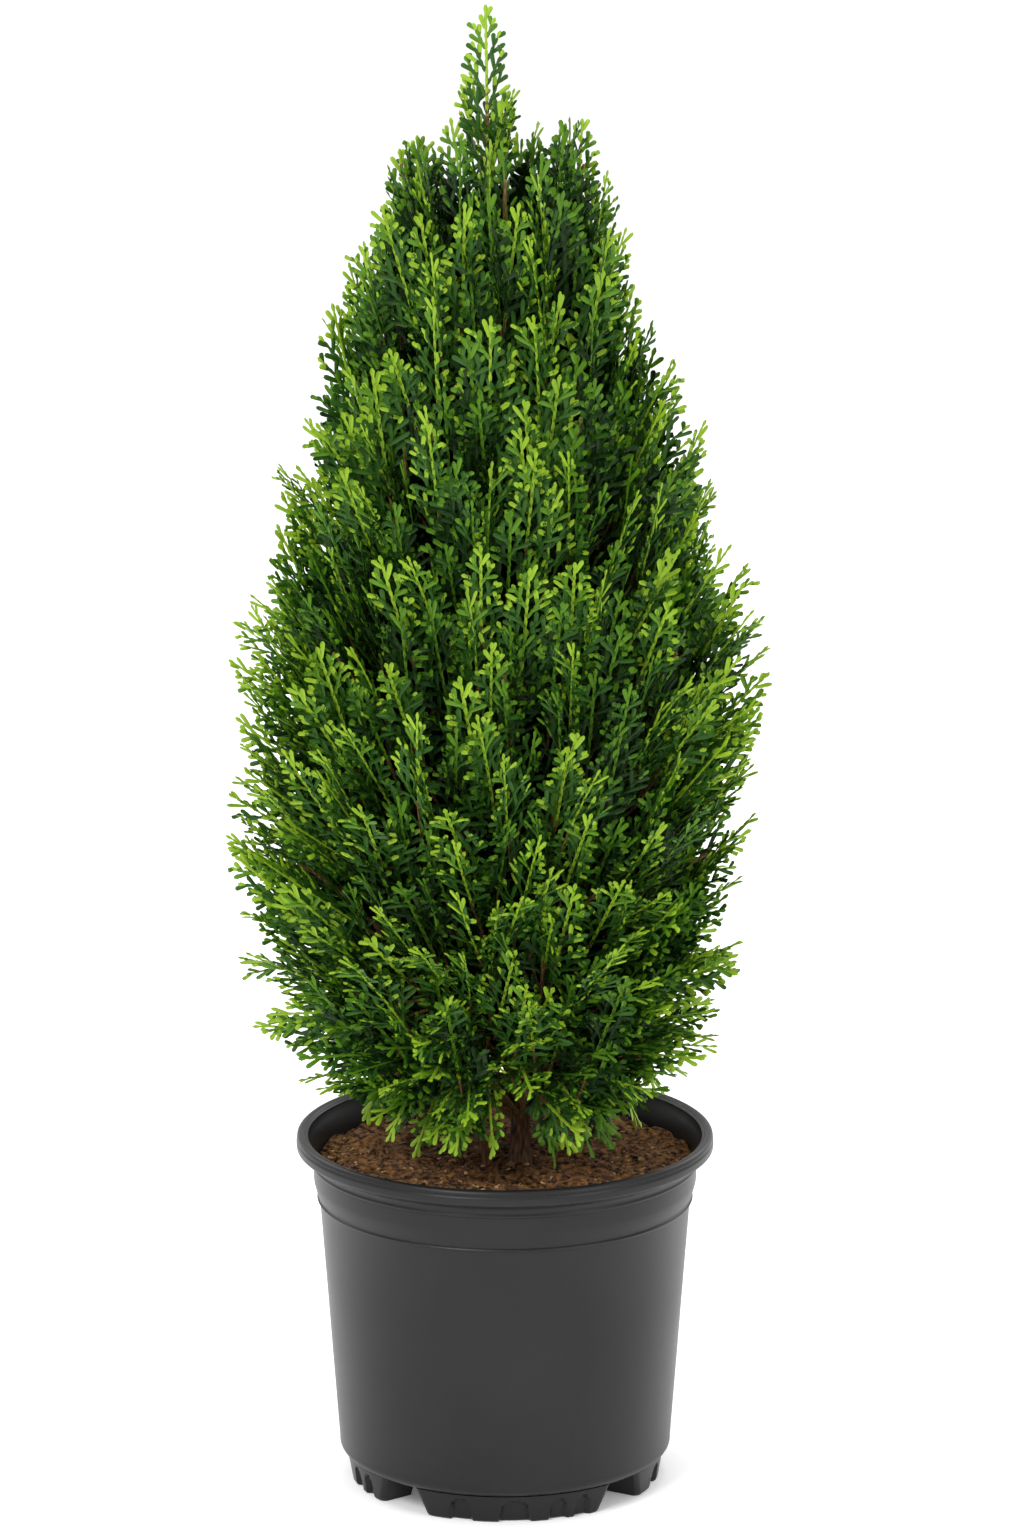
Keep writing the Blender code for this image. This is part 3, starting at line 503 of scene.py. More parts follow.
# Each tier: its masses, how its first is turned, where its limbs leave the trunk and how
# steeply, how much of a limb is bough, and the height of its upper row of sprays.
TIERS = (
    {"name": "skirt", "masses": 6, "turn": 0.18, "root": 0.250, "step": 0.003, "rise": 38.0,
     "split": 0.0, "high_row": 0.330},
    {"name": "low", "masses": 7, "turn": 0.50, "root": 0.283, "step": 0.006, "rise": 56.0,
     "split": 0.34, "high_row": 0.470},
    {"name": "middle", "masses": 7, "turn": 0.00, "root": 0.328, "step": 0.007, "rise": 70.0,
     "split": 0.38, "high_row": 0.620},
    {"name": "upper", "masses": 6, "turn": 0.50, "root": 0.470, "step": 0.007, "rise": 74.0,
     "split": 0.0, "high_row": 0.775},
    {"name": "top", "masses": 4, "turn": 0.00, "root": 0.640, "step": 0.010, "rise": 80.0,
     "split": 0.0, "high_row": 0.925},
)
OLD_BARK_DEEP = (0.030, 0.015, 0.009, 1.0)
OLD_BARK_PALE = (0.190, 0.098, 0.052, 1.0)
YOUNG_BARK_DEEP = (0.055, 0.024, 0.011, 1.0)
YOUNG_BARK_PALE = (0.230, 0.110, 0.045, 1.0)


def trunk_centre(height):
    """Place of the trunk's centreline at a height: a lean with one slow bend."""
    share = (height - TRUNK_FOOT.z) / (TRUNK_TIP.z - TRUNK_FOOT.z)
    spot = TRUNK_FOOT.lerp(TRUNK_TIP, unit_share(share))
    bend = TRUNK_BEND * math.sin(math.tau * share)
    return Vector((spot.x + bend, spot.y + BEND_BACKWARD * bend, height))


def trunk_radius(height):
    share = unit_share((height - TRUNK_FOOT.z) / (TRUNK_TIP.z - TRUNK_FOOT.z))
    taper = (TRUNK_RADIUS - TRUNK_TIP_RADIUS) * (1.0 - share) ** TRUNK_TAPER
    flare = FLARE_RADIUS * math.exp(-(height - TRUNK_FOOT.z) / FLARE_HEIGHT)
    return TRUNK_TIP_RADIUS + taper + flare


def outward(azimuth):
    return Vector((math.cos(azimuth), math.sin(azimuth), 0.0))


def crown_point(height, azimuth, share):
    """A point of the crown at a height and azimuth, at a share of the way to its outline."""
    heights = [row[0] for row in CROWN_ROWS]
    left = float(np.interp(height, heights, [row[1] for row in CROWN_ROWS]))
    right = float(np.interp(height, heights, [row[2] for row in CROWN_ROWS]))
    blend = 0.5 + 0.5 * math.cos(azimuth)
    reach = left * (1.0 - blend) + right * blend
    return Vector((0.0, 0.0, height)) + outward(azimuth) * reach * share


def growth_direction(height, azimuth):
    """Sprays droop at the foot of the crown, reach out low down and stand up at the top."""
    share = unit_share((height - SLOPE_FOOT) / (PLANT_TOP.z - SLOPE_FOOT))
    slope = SLOPE_LOW + (SLOPE_TOP - SLOPE_LOW) * share ** SLOPE_POWER
    return outward(azimuth) * math.cos(slope) + Vector((0.0, 0.0, math.sin(slope)))


def bezier(points, share):
    """The point at a share of the way along a curve of four points."""
    back = 1.0 - share
    weights = (back ** 3, 3.0 * back * back * share, 3.0 * back * share * share, share ** 3)
    spot = Vector((0.0, 0.0, 0.0))
    for weight, point in zip(weights, points):
        spot += weight * point
    return spot


def growths():
    """Each limb and its mass, by the rule that their solids follow."""
    found = []
    for tier in TIERS:
        for index in range(tier["masses"]):
            name = f"{tier['name']}_{index + 1}"
            sector = math.tau / tier["masses"]
            azimuth = (index + tier["turn"]) * sector - 0.5 * math.pi
            root = trunk_centre(tier["root"] + tier["step"] * ((3 * index) % tier["masses"]))
            rise = math.radians(tier["rise"])
            if name == SIDE_STEM_MASS:
                root = SIDE_STEM_FOOT.copy()
                rise = SIDE_STEM_RISE
            end_height = tier["high_row"] - LIMB_END_DROP
            end = crown_point(end_height, azimuth, LIMB_END_SHARE)
            out = Vector((end.x - root.x, end.y - root.y, 0.0)).normalized()
            start_direction = out * math.cos(rise) + Vector((0.0, 0.0, math.sin(rise)))
            span = (end - root).length
            curve = (
                root,
                root + start_direction * LIMB_START_PULL * span,
                end - growth_direction(end_height, azimuth) * LIMB_END_PULL * span,
                end,
            )
            found.append({"name": name, "tier": tier, "azimuth": azimuth, "sector": sector, "curve": curve})
    return found


def furrow(out, spot, seed):
    """How far the bark stands out or in: long ridges and small knots together."""
    grain = Vector((out.x * 3.2 + seed, out.y * 3.2, spot.z * 34.0))
    knot = Vector((spot.x * 150.0, spot.y * 150.0, spot.z * 60.0 + seed))
    return noise.noise(grain * 1.6) + 0.5 * noise.noise(knot)


def tube(points, radii, sides, ridge, seed):
    """Vertices and faces of a tapering limb; ridge is how deep its bark is furrowed."""
    points = [Vector(point) for point in points]
    verts = []
    faces = []
    normal = None
    for index, (point, radius) in enumerate(zip(points, radii)):
        ahead = points[min(index + 1, len(points) - 1)] - points[max(index - 1, 0)]
        ahead.normalize()
        if normal is None:
            normal = ahead.orthogonal().normalized()
        normal = (normal - ahead * normal.dot(ahead)).normalized()
        across = ahead.cross(normal)
        for side in range(sides):
            angle = math.tau * side / sides
            out = normal * math.cos(angle) + across * math.sin(angle)
            spot = point + out * radius
            if ridge > 0.0:
                spot = spot + out * ridge * furrow(out, spot, seed)
            verts.append(spot)
    for index in range(len(points) - 1):
        for side in range(sides):
            after = (side + 1) % sides
            low, high = index * sides, (index + 1) * sides
            faces.append((low + side, low + after, high + after, high + side))
    faces.append(tuple(reversed(range(sides))))
    faces.append(tuple(range((len(points) - 1) * sides, len(points) * sides)))
    return verts, faces


def mesh_from_tubes(name, tubes):
    verts = []
    faces = []
    for tube_verts, tube_faces in tubes:
        base = len(verts)
        verts += tube_verts
        faces += [tuple(base + corner for corner in face) for face in tube_faces]
    mesh = bpy.data.meshes.new(name)
    mesh.from_pydata(verts, [], faces)
    mesh.shade_smooth()
    mesh.set_sharp_from_angle(angle=math.radians(60.0))
    return mesh


def bark_material(name, deep, pale, stretch):
    """Fibrous bark, whose fibres are drawn out along the wood."""
    material = shader_material(name, Roughness=0.85, Specular_IOR_Level=0.3)
    fibre = fine_noise(material, 620.0, detail=5.0, stretch=stretch)
    colour_along(material, fibre, (0.36, deep), (0.68, pale))
    raise_along(material, fibre, 0.8, 0.0006)
    return material


limbs = growths()
old_bark = bark_material("old_bark", OLD_BARK_DEEP, OLD_BARK_PALE, 0.16)
young_bark = bark_material("young_bark", YOUNG_BARK_DEEP, YOUNG_BARK_PALE, 0.2)

trunk_start = TRUNK_FOOT.z - BURIED
trunk_rise = (TRUNK_TIP.z - trunk_start) / TRUNK_STEPS
trunk_levels = [trunk_start + trunk_rise * step for step in range(TRUNK_STEPS + 1)]
trunk_points = [trunk_centre(level) for level in trunk_levels]
trunk_radii = [trunk_radius(max(level, TRUNK_FOOT.z)) for level in trunk_levels]
trunk_tube = tube(trunk_points, trunk_radii, TRUNK_SIDES, TRUNK_FURROW, 0.0)
trunk = add_object("trunk_bark", mesh_from_tubes("trunk_bark", [trunk_tube]), old_bark)
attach(trunk, "root")
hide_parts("trunk")

bough_tubes = []
bough_nodes = []
side_stem_tubes = []
for number, limb in enumerate(limbs):
    split = limb["tier"]["split"]
    if split == 0.0:
        continue
    shares = [step / BOUGH_STEPS for step in range(BOUGH_STEPS + 1)]
    points = [bezier(limb["curve"], split * share) for share in shares]
    radii = [BOUGH_RADIUS + (BOUGH_TIP_RADIUS - BOUGH_RADIUS) * share for share in shares]
    if limb["name"] == SIDE_STEM_MASS:
        points[0] = points[0] - Vector((0.0, 0.0, BURIED))
        side_stem_tubes.append(tube(points, radii, SIDE_STEM_SIDES, BOUGH_FURROW, number))
    else:
        bough_tubes.append(tube(points, radii, BOUGH_SIDES, BOUGH_FURROW, number))
        bough_nodes.append("bough_" + limb["name"])
side_stem = add_object("side_stem_bark", mesh_from_tubes("side_stem_bark", side_stem_tubes), young_bark)
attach(side_stem, "root")
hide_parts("side_stem")
boughs = add_object("bough_bark", mesh_from_tubes("bough_bark", bough_tubes), young_bark)
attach(boughs, "root")
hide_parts(*bough_nodes)


# Foliage.
# Flat upright plumes of scale leaves, beaded by their pairs: a midrib, side shoots and
# short shoots on those. Each plume grows on a thin brown twig from its limb's stem.
FOLIAGE_SEED = 23
PLUME_LENGTHS = (0.062, 0.082, 0.104, 0.126)
KINDS_EACH = 6
FULLNESS = (0.78, 1.02)
SHOOT_WIDTH = 0.0031
SCALE_PITCH = 0.0048
MIDRIB_WIDTH = 0.92 * SHOOT_WIDTH
MIDRIB_PITCH = 0.0058
SIDE_WIDTH = 0.90 * SHOOT_WIDTH
FIRST_SIDE = (0.05, 0.09)
LAST_SIDE = 0.93
SIDE_REACH = 0.44
SIDE_REACH_LEAST = 0.0045
SIDE_REACH_POWER = 0.85
SIDE_ANGLES = (24.0, 33.0)
SIDE_ANGLE_CLOSING = 5.0
SIDE_SPACING = (0.0078, 0.0100)
SIDE_SPACING_CLOSING = 0.28
SIDE_REACH_PLAY = (0.84, 1.12)
PLAIN_SHOOT_REACH = 0.0130
FIRST_BUD = (0.18, 0.26)
LAST_BUD = 0.86
BUD_REACH = 0.46
BUD_REACH_MOST = 0.0140
BUD_REACH_PLAY = (0.85, 1.15)
BUD_SLOPE = 0.35
BUD_ANGLES = (26.0, 36.0)
BUD_SPACING = (0.0050, 0.0064)
PLUME_ROLL = 0.30
PLUME_CUP = 0.12
RIDGE_SHARE = 0.28
RIDGE_LEAST = 0.0003
# Where on a shoot its body and its tip begin, and where on a plume its shoots turn fresh
# and their tips bright, with the share of bright tips below that.
BODY_START = 0.28
TIP_START = 0.80
FRESH_START = 0.68
BRIGHT_START = 0.42
BRIGHT_TIPS = 0.3
BRIGHT_BUDS = (0.05, 0.5)
# Old sprays inside the crown: their length, kinds and blades.
OLD_LENGTH = 0.100
OLD_KINDS = 5
OLD_BLADES = 26
OLD_BLADE_SHARE = 0.44
OLD_BLADE_POWER = 0.6
OLD_BLADE_PLAY = (0.7, 1.1)
OLD_BLADE_ANGLES = (32.0, 58.0)
OLD_BLADE_WIDTHS = (0.0020, 0.0052, 0.0024)
OLD_BLADE_SLOPE = 0.5
# Heights of the rows of plumes of each tier, and how many stand side by side on a mass.
PLUME_ROWS = {
    "skirt": (0.246, 0.258, 0.276, 0.298, 0.322, 0.348),
    "low": (0.372, 0.396, 0.420, 0.444, 0.468, 0.492),
    "middle": (0.514, 0.537, 0.560, 0.583, 0.606, 0.630),
    "upper": (0.653, 0.676, 0.700, 0.724, 0.748, 0.772),
    "top": (0.796, 0.816, 0.836, 0.856, 0.876, 0.896, 0.916),
}
PLUMES_ACROSS = {"skirt": 5, "low": 5, "middle": 5, "upper": 5, "top": 4}
# Each layer: how far out its tips are, how much steeper its plumes stand, how many tones
# darker they are painted as shade deeper in the crown, and how often they come.
LAYERS = (
    (0.985, 0.0, 0, 0.43),
    (0.895, 0.35, 1, 0.32),
    (0.800, 0.60, 1, 0.25),
)
SHARE_PLAY = (-0.03, 0.015)
AZIMUTH_PLAY = 0.07
HEIGHT_PLAY = 0.012
LEAN_PLAY = 0.15
PLACED_LENGTHS = (0.088, 0.130)
SHORT_BELOW = 0.300
SHORT_SHARE = 0.66
MOST_TURN = 1.15
MOST_CURL = 0.10
DROOP_BELOW = 0.270
DROOP = 0.9
UPRIGHT_ABOVE = 0.36
FRONT_RISE = 0.45
# Between these heights the tips lie further out than the crown's rows.
LOW_BAND = (0.270, 0.318)
LOW_SPREAD = 1.16
LEAF_CLEARANCE = 0.004
# The gap that shows the trunk's foot: its middle, half its width and its top.
FOOT_WINDOW = (0.010, 0.017, 0.300)
STEM_STEPS = 30
STEM_RADII = (0.0024, 0.0011)
STEM_SIDES = 8
STEM_FURROW = 0.00012
TWIG_RADII = (0.0013, 0.0012, 0.0011, 0.0005)
TWIG_SIDES = 5
TWIG_CLIMB = 0.045
DOWNWARD_COST = 1.4
KNEE_SHARE = 0.55
KNEE_DROP = 0.006
TWIG_IN_PLUME = 0.35
BRIGHT, FRESH, MID, SHADED_MID, SHADE, WOODY = range(6)
# Each green: its name, its colour and how much it shines.
GREENS = (
    ("shoot_bright", (0.235, 0.385, 0.020, 1.0), 0.22),
    ("shoot_fresh", (0.080, 0.192, 0.008, 1.0), 0.22),
    ("shoot_mid", (0.025, 0.086, 0.007, 1.0), 0.22),
    # The next green is the mid green darkened as painted shade, given only to the deeper layers.
    ("shoot_mid_shaded", (0.008, 0.032, 0.003, 1.0), 0.22),
    ("shoot_shade", (0.003, 0.009, 0.002, 1.0), 0.03),
    ("shoot_woody", (0.110, 0.075, 0.014, 1.0), 0.22),
)


def shoot_strip(start, direction, rows, lift, tones):
    """A flat ridged strip in the plume's plane.

    Each row holds how far along it lies, its width and its ridge; lift is the height at
    the foot and the slope; tones are those of its foot, its body and its tip.
    """
    across = np.array((direction[1], -direction[0]))
    length = rows[-1][0]
    verts = []
    for along, wide, ridge in rows:
        middle = start + direction * along
        height = lift[0] + lift[1] * along
        for side, top in ((-0.5, 0.0), (0.0, RIDGE_SHARE * wide * ridge + RIDGE_LEAST), (0.5, 0.0)):
            spot = middle + across * side * wide
            verts.append((spot[0], spot[1], height + top))
    faces = []
    slots = []
    for row in range(len(rows) - 1):
        base = 3 * row
        share = rows[row + 1][0] / length
        tone = tones[0]
        if share > BODY_START:
            tone = tones[2] if share > TIP_START else tones[1]
        for side in (0, 1):
            faces.append((base + side, base + side + 1, base + side + 4, base + side + 3))
            slots.append(tone)
    return verts, faces, slots


def add_strip(spray, strip):
    """Put a strip's vertices, faces and tones to those of a spray."""
    base = len(spray[0])
    spray[0].extend(strip[0])
    spray[1].extend(tuple(base + corner for corner in face) for face in strip[1])
    spray[2].extend(strip[2])


def beaded_rows(length, width, pitch):
    """Rows of a long shoot, which swells at each pair of scales and ends in a blunt bud."""
    beads = max(int(round(length / pitch)), 2)
    rows = []
    for bead in range(beads):
        taper = 1.0 - 0.20 * bead / beads
        rows.append((length * bead / beads, 0.66 * width * taper, 0.4))
        rows.append((length * (bead + 0.62) / beads, width * taper, 1.0))
    rows[-1] = (rows[-1][0], 1.12 * width, 1.0)
    rows.append((length, 0.45 * width, 0.5))
    return rows


def bud_rows(length):
    """Rows of a short last shoot with a blunt round tip."""
    return [
        (0.0, 0.66 * SHOOT_WIDTH, 0.4),
        (0.40 * length, 0.92 * SHOOT_WIDTH, 1.0),
        (0.84 * length, 1.06 * SHOOT_WIDTH, 1.0),
        (length, 0.50 * SHOOT_WIDTH, 0.4),
    ]


def slanted(side, degrees):
    """A direction in the plume's plane, to one side of its midrib."""
    angle = math.radians(degrees)
    return np.array((side * math.sin(angle), math.cos(angle)))


def add_branched_shoot(spray, rng, start, direction, reach, share, side, roll):
    """A side shoot with short shoots on both sides; share is its place on the midrib."""
    body = FRESH if share > FRESH_START else MID
    tip = BRIGHT if share > BRIGHT_START or rng.random() < BRIGHT_TIPS else FRESH
    rows = beaded_rows(reach, SIDE_WIDTH, SCALE_PITCH)
    add_strip(spray, shoot_strip(start, direction, rows, (0.0, roll), (body, body, tip)))
    along = reach * rng.uniform(*FIRST_BUD)
    while along < reach * LAST_BUD:
        small = min(BUD_REACH * (reach - along + 0.0090), BUD_REACH_MOST)
        small *= rng.uniform(*BUD_REACH_PLAY)
        bend = math.radians(rng.uniform(*BUD_ANGLES)) * side
        turned = np.array((
            direction[0] * math.cos(bend) + direction[1] * math.sin(bend),
            direction[1] * math.cos(bend) - direction[0] * math.sin(bend),
        ))
        last = BRIGHT if rng.random() < BRIGHT_BUDS[0] + BRIGHT_BUDS[1] * share else body
        lift = (roll * along - 0.0003, rng.uniform(-BUD_SLOPE, BUD_SLOPE))
        root = start + direction * along
        add_strip(spray, shoot_strip(root, turned, bud_rows(small), lift, (body, body, last)))
        along += rng.uniform(*BUD_SPACING)
        side = -side


def plume(rng, length, fullness):
    """One flat plume in the plane of its face, along +Y, as arrays of quads."""
    spray = ([], [], [])
    rows = beaded_rows(length, MIDRIB_WIDTH, MIDRIB_PITCH)
    midrib = shoot_strip(np.zeros(2), slanted(0.0, 0.0), rows, (0.0004, 0.0), (WOODY, BRIGHT, BRIGHT))
    add_strip(spray, midrib)
    along = length * rng.uniform(*FIRST_SIDE)
    side = rng.choice((-1.0, 1.0))
    while along < length * LAST_SIDE:
        share = along / length
        reach = SIDE_REACH * length * (1.0 - share) ** SIDE_REACH_POWER + SIDE_REACH_LEAST
        reach *= fullness * min(0.55 + 2.2 * share, 1.0) * rng.uniform(*SIDE_REACH_PLAY)
        direction = slanted(side, rng.uniform(*SIDE_ANGLES) - SIDE_ANGLE_CLOSING * share)
        start = np.array((side * 0.0006, along))
        roll = rng.uniform(-PLUME_ROLL, PLUME_ROLL)
        if reach < PLAIN_SHOOT_REACH:
            tones = (FRESH, BRIGHT, BRIGHT)
            add_strip(spray, shoot_strip(start, direction, bud_rows(reach), (0.0, roll), tones))
        else:
            add_branched_shoot(spray, rng, start, direction, reach, share, side, roll)
        along += rng.uniform(*SIDE_SPACING) * (1.0 - SIDE_SPACING_CLOSING * share)
        side = -side
    return [np.array(row) for row in spray]


def old_spray(rng):
    """A sparse spray of old shoots from inside the crown, coloured near-black as painted shade."""
    spray = ([], [], [])
    for blade in range(OLD_BLADES):
        along = OLD_LENGTH * (0.03 + 0.92 * blade / (OLD_BLADES - 1.0))
        side = 1.0 if blade % 2 else -1.0
        reach = OLD_LENGTH * OLD_BLADE_SHARE * (1.0 - blade / OLD_BLADES) ** OLD_BLADE_POWER
        reach *= rng.uniform(*OLD_BLADE_PLAY)
        direction = slanted(side, rng.uniform(*OLD_BLADE_ANGLES))
        narrow, wide, end = OLD_BLADE_WIDTHS
        rows = [(0.0, narrow, 0.5), (0.5 * reach, wide, 1.0), (reach, end, 0.5)]
        lift = (0.0, rng.uniform(-OLD_BLADE_SLOPE, OLD_BLADE_SLOPE))
        start = np.array((0.0, along))
        add_strip(spray, shoot_strip(start, direction, rows, lift, (SHADE, SHADE, SHADE)))
    return [np.array(row) for row in spray]


def pick_kind(length):
    """A plume of the length class nearest to the length that is wanted."""
    nearest = min(range(len(PLUME_LENGTHS)), key=lambda index: abs(PLUME_LENGTHS[index] - length))
    return plume_kinds[nearest * KINDS_EACH + foliage_rng.randrange(KINDS_EACH)]


def place_plume(kind, foot, direction, length, turn, curl, shade_tone_steps):
    """Put a kind of plume at a foot, along a direction, with its plane turned and bent, and its greens
    stepped darker as painted shade.
    """
    kind_length, verts, faces, slots = kind
    local = verts * (length / kind_length)
    along = local[:, 1]
    bend = curl * (along / length) ** 2 * length - PLUME_CUP * np.abs(local[:, 0])
    local = np.stack((local[:, 0], along, local[:, 2] + bend), axis=1)
    sideways = direction.cross(Vector((0.0, 0.0, 1.0)))
    if sideways.length < 0.05:
        sideways = Vector((1.0, 0.0, 0.0))
    across = Matrix.Rotation(turn, 3, direction) @ sideways.normalized()
    square = across.cross(direction).normalized()
    axes = np.array((tuple(across), tuple(direction), tuple(square)))
    # The greens of deeper layers step darker here as painted shade, no further than the shaded mid green.
    shaded_slots = np.where(slots < SHADE, np.minimum(slots + shade_tone_steps, SHADED_MID), slots)
    return local @ axes + np.array(tuple(foot)), faces, shaded_slots


def joined_mesh(name, parts):
    """Join many small meshes, given as arrays of quads, into one."""
    counts = np.cumsum([0] + [len(part[0]) for part in parts])
    verts = np.concatenate([part[0] for part in parts])
    faces = np.concatenate([part[1] + base for part, base in zip(parts, counts)])
    slots = np.concatenate([part[2] for part in parts])
    mesh = bpy.data.meshes.new(name)
    mesh.vertices.add(len(verts))
    mesh.vertices.foreach_set("co", verts.astype(np.float32).ravel())
    mesh.loops.add(faces.size)
    mesh.loops.foreach_set("vertex_index", faces.astype(np.int32).ravel())
    mesh.polygons.add(len(faces))
    mesh.polygons.foreach_set("loop_start", np.arange(0, faces.size, 4, dtype=np.int32))
    mesh.polygons.foreach_set("material_index", slots.astype(np.int32))
    mesh.update()
    mesh.shade_smooth()
    return mesh


def plume_aim(row_height, height, azimuth, steeper):
    """The way a plume grows: by the crown's slope, a little at random, upright in front."""
    direction = growth_direction(height, azimuth)
    lean = Vector([foliage_rng.uniform(-LEAN_PLAY, LEAN_PLAY) for axis in range(3)])
    if row_height < DROOP_BELOW:
        lean.z -= DROOP
    elif height > UPRIGHT_ABOVE:
        lean.z += steeper + FRONT_RISE * math.sin(azimuth) ** 2
    return (direction + lean).normalized()


def has_room(foot, tip):
    """Whether a plume keeps clear of the soil and of the gap that shows the trunk's foot."""
    middle, half_width, top = FOOT_WINDOW
    if min(foot.z, tip.z) < SOIL_HEIGHT + LEAF_CLEARANCE:
        return False
    return abs(tip.x - middle) >= half_width or tip.y >= TRUNK_FOOT.y or tip.z >= top


def twig(stem, foot, direction, length):
    """A thin twig from the best place on a stem to a plume's foot and up its midrib."""
    costs = [
        (foot - spot).length + DOWNWARD_COST * max(spot.z - foot.z + TWIG_CLIMB, 0.0)
        for spot in stem
    ]
    root = stem[costs.index(min(costs))]
    knee = root.lerp(foot, KNEE_SHARE) - direction * KNEE_DROP
    path = [root, knee, foot, foot + direction * TWIG_IN_PLUME * length]
    return tube(path, TWIG_RADII, TWIG_SIDES, 0.0, 0.0)


foliage_rng = random.Random(FOLIAGE_SEED)
plume_kinds = []
for kind_length in PLUME_LENGTHS:
    for number in range(KINDS_EACH):
        fullness = foliage_rng.uniform(*FULLNESS)
        plume_kinds.append((kind_length, *plume(foliage_rng, kind_length, fullness)))
old_kinds = [(OLD_LENGTH, *old_spray(foliage_rng)) for kind in range(OLD_KINDS)]

foliage_materials = []
for tone_name, tone_colour, tone_shine in GREENS:
    tone_material = shader_material(
        tone_name, Base_Color=tone_colour, Roughness=0.46, Specular_IOR_Level=tone_shine,
    )
    raise_along(tone_material, fine_noise(tone_material, 420.0), 0.35, 0.0004)
    foliage_materials.append(tone_material)

layer_weights = [layer[3] for layer in LAYERS]
stem_shares = [step / STEM_STEPS for step in range(STEM_STEPS + 1)]
stem_radii = [STEM_RADII[0] + (STEM_RADII[1] - STEM_RADII[0]) * share for share in stem_shares]
twig_tubes = []
tier_pieces = {}
for number, limb in enumerate(limbs):
    tier = limb["tier"]
    split = tier["split"]
    mass_number = int(limb["name"].rsplit("_", 1)[1])
    half = 1 if mass_number <= (tier["masses"] + 1) // 2 else 2
    parts, masses = tier_pieces.setdefault((tier["name"], half), ([], []))
    masses.append("mass_" + limb["name"])
    stem = [bezier(limb["curve"], split + (1.0 - split) * share) for share in stem_shares]
    twig_tubes.append(tube(stem, stem_radii, STEM_SIDES, STEM_FURROW, number))
    across_count = PLUMES_ACROSS[tier["name"]]
    for row_number, row_height in enumerate(PLUME_ROWS[tier["name"]]):
        stagger = 0.75 if row_number % 2 else 0.25
        for column in range(across_count):
            offset = ((column + stagger) / across_count - 0.5) * limb["sector"]
            azimuth = limb["azimuth"] + offset + foliage_rng.uniform(-AZIMUTH_PLAY, AZIMUTH_PLAY)
            height = row_height + foliage_rng.uniform(-HEIGHT_PLAY, HEIGHT_PLAY)
            layer = foliage_rng.choices(LAYERS, layer_weights)[0]
            share = layer[0] + foliage_rng.uniform(*SHARE_PLAY)
            if LOW_BAND[0] < height < LOW_BAND[1]:
                share *= LOW_SPREAD
            tip = crown_point(height, azimuth, share)
            direction = plume_aim(row_height, height, azimuth, layer[1])
            length = foliage_rng.uniform(*PLACED_LENGTHS)
            if row_height < SHORT_BELOW:
                length *= SHORT_SHARE
            foot = tip - direction * length
            turn = foliage_rng.choice((-1.0, 1.0)) * foliage_rng.uniform(0.0, MOST_TURN)
            curl = foliage_rng.uniform(-MOST_CURL, MOST_CURL)
            kind = pick_kind(length)
            if has_room(foot, tip):
                parts.append(place_plume(kind, foot, direction, length, turn, curl, layer[2]))
                twig_tubes.append(twig(stem, foot, direction, length))

for (tier_name, half), (parts, masses) in tier_pieces.items():
    piece_name = f"foliage_{tier_name}_{half}"
    piece = add_object(piece_name, joined_mesh(piece_name, parts), *foliage_materials)
    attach(piece, "root")
    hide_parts(*masses)


# Inner sprays.
# Old sprays of scale leaves close round the trunk, coloured near-black as painted shade, which
# stand upright between the twigs and keep the light out of the crown.
INNER_SPRAYS = 520
INNER_FOOT = 0.360
INNER_RISE = 0.53
INNER_TURN = 2.39996
INNER_SHARES = (0.38, 0.66)
INNER_LENGTHS = (0.075, 0.110)
INNER_OUTWARD = 0.45
INNER_UPWARD = 0.9
INNER_PLAY = 0.3
INNER_ROLL = 0.6

inner_parts = []
for number in range(INNER_SPRAYS):
    height = INNER_FOOT + INNER_RISE * (number + 0.5) / INNER_SPRAYS
    azimuth = number * INNER_TURN + foliage_rng.uniform(-INNER_PLAY, INNER_PLAY)
    tip = crown_point(height, azimuth, foliage_rng.uniform(*INNER_SHARES))
    lean = [foliage_rng.uniform(-INNER_PLAY, INNER_PLAY) for axis in range(2)]
    direction = outward(azimuth) * INNER_OUTWARD + Vector((*lean, INNER_UPWARD))
    direction.normalize()
    length = foliage_rng.uniform(*INNER_LENGTHS)
    foot = tip - direction * length
    if foot.z < FOOT_WINDOW[2]:
        continue
    kind = old_kinds[foliage_rng.randrange(OLD_KINDS)]
    turn = foliage_rng.uniform(-INNER_ROLL, INNER_ROLL)
    inner_parts.append(place_plume(kind, foot, direction, length, turn, 0.0, 0))
inner_mesh = joined_mesh("inner_sprays", inner_parts)
inner = add_object("inner_sprays", inner_mesh, *foliage_materials)
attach(inner, "root")


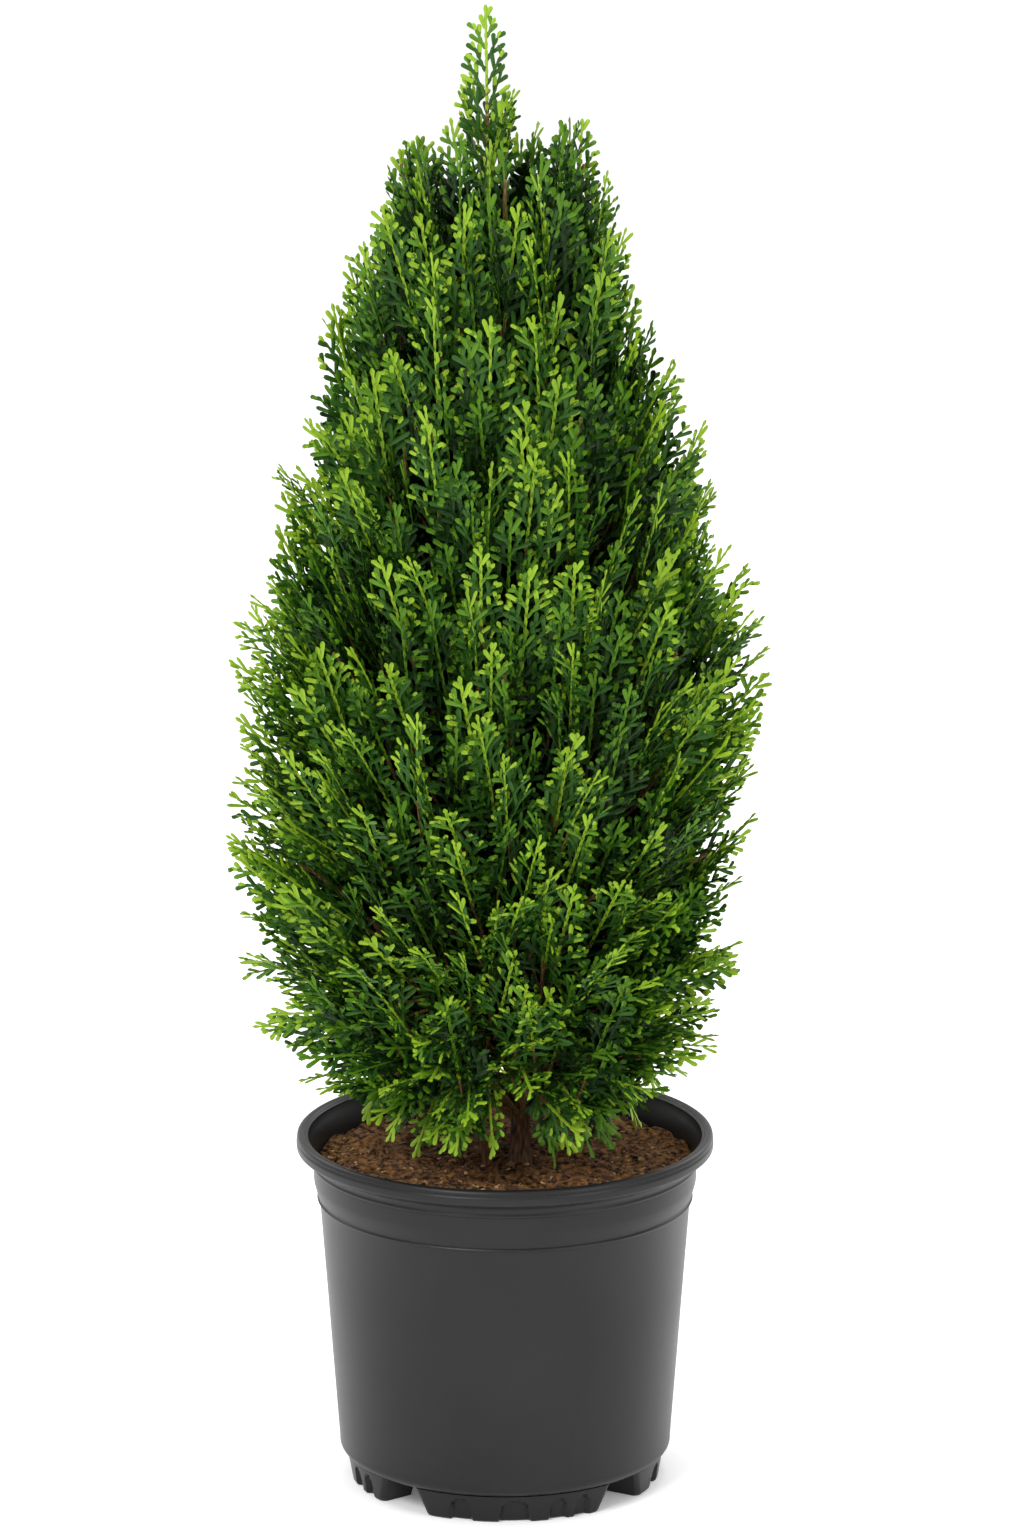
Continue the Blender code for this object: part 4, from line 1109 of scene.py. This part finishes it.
# Leading shoot.
# The top of the plant: the trunk goes on as a thin green shoot of scale leaves, with short
# side sprays all round and the topmost one straight up.
LEADER_KIND_LENGTH = 0.100
LEADER_LENGTH = 0.0995
LEADER_FULLNESS = 0.85
LEADER_TURN = 0.25
LEADER_SIDES = 7
LEADER_SIDE_TURN = 2.4
LEADER_SIDE_PLAY = 0.3
LEADER_SIDE_ROLL = 0.9
LEADER_SIDE_START = -0.40
LEADER_SIDE_STEP = 0.070
LEADER_SIDE_RISES = (60.0, 74.0)
LEADER_SIDE_LENGTH = 0.074
LEADER_SIDE_SHORTENING = 0.0030
LEADER_SIDE_CURL = 0.05
LEADER_WOOD_SHARE = 0.6
LEADER_WOOD_RADII = (0.0013, 0.0008)
LEADER_WOOD_SIDES = 7

leader_run = PLANT_TOP - TRUNK_TIP
leader_kind = (LEADER_KIND_LENGTH, *plume(foliage_rng, LEADER_KIND_LENGTH, LEADER_FULLNESS))
leader_way = leader_run.normalized()
leader_parts = [place_plume(leader_kind, TRUNK_TIP, leader_way, LEADER_LENGTH, LEADER_TURN, 0.0, 0)]
for number in range(LEADER_SIDES):
    azimuth = number * LEADER_SIDE_TURN + foliage_rng.uniform(-LEADER_SIDE_PLAY, LEADER_SIDE_PLAY)
    foot = TRUNK_TIP + leader_run * (LEADER_SIDE_START + LEADER_SIDE_STEP * number)
    rise = math.radians(foliage_rng.uniform(*LEADER_SIDE_RISES))
    direction = outward(azimuth) * math.cos(rise) + Vector((0.0, 0.0, math.sin(rise)))
    length = LEADER_SIDE_LENGTH - LEADER_SIDE_SHORTENING * number
    kind = pick_kind(length)
    turn = foliage_rng.uniform(-LEADER_SIDE_ROLL, LEADER_SIDE_ROLL)
    leader_parts.append(place_plume(kind, foot, direction, length, turn, LEADER_SIDE_CURL, 0))
leader_wood_end = TRUNK_TIP + leader_run * LEADER_WOOD_SHARE
twig_tubes.append(tube([TRUNK_TIP, leader_wood_end], LEADER_WOOD_RADII, LEADER_WOOD_SIDES, 0.0, 0.0))
leader_mesh = joined_mesh("foliage_leader", leader_parts)
leader = add_object("foliage_leader", leader_mesh, *foliage_materials)
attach(leader, "root")
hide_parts("mass_leader")


# Twigs.
# Thin wood with yellow-brown bark: the limbs' stems above the boughs, the twig of every
# plume, which grows on from a stem into the plume's midrib, and the leading shoot's wood.
TWIG_BARK_DEEP = (0.060, 0.028, 0.010, 1.0)
TWIG_BARK_PALE = (0.210, 0.120, 0.040, 1.0)

twig_bark = bark_material("twig_bark", TWIG_BARK_DEEP, TWIG_BARK_PALE, 0.3)
twigs = add_object("twig_wood", mesh_from_tubes("twig_wood", twig_tubes), twig_bark)
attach(twigs, "root")
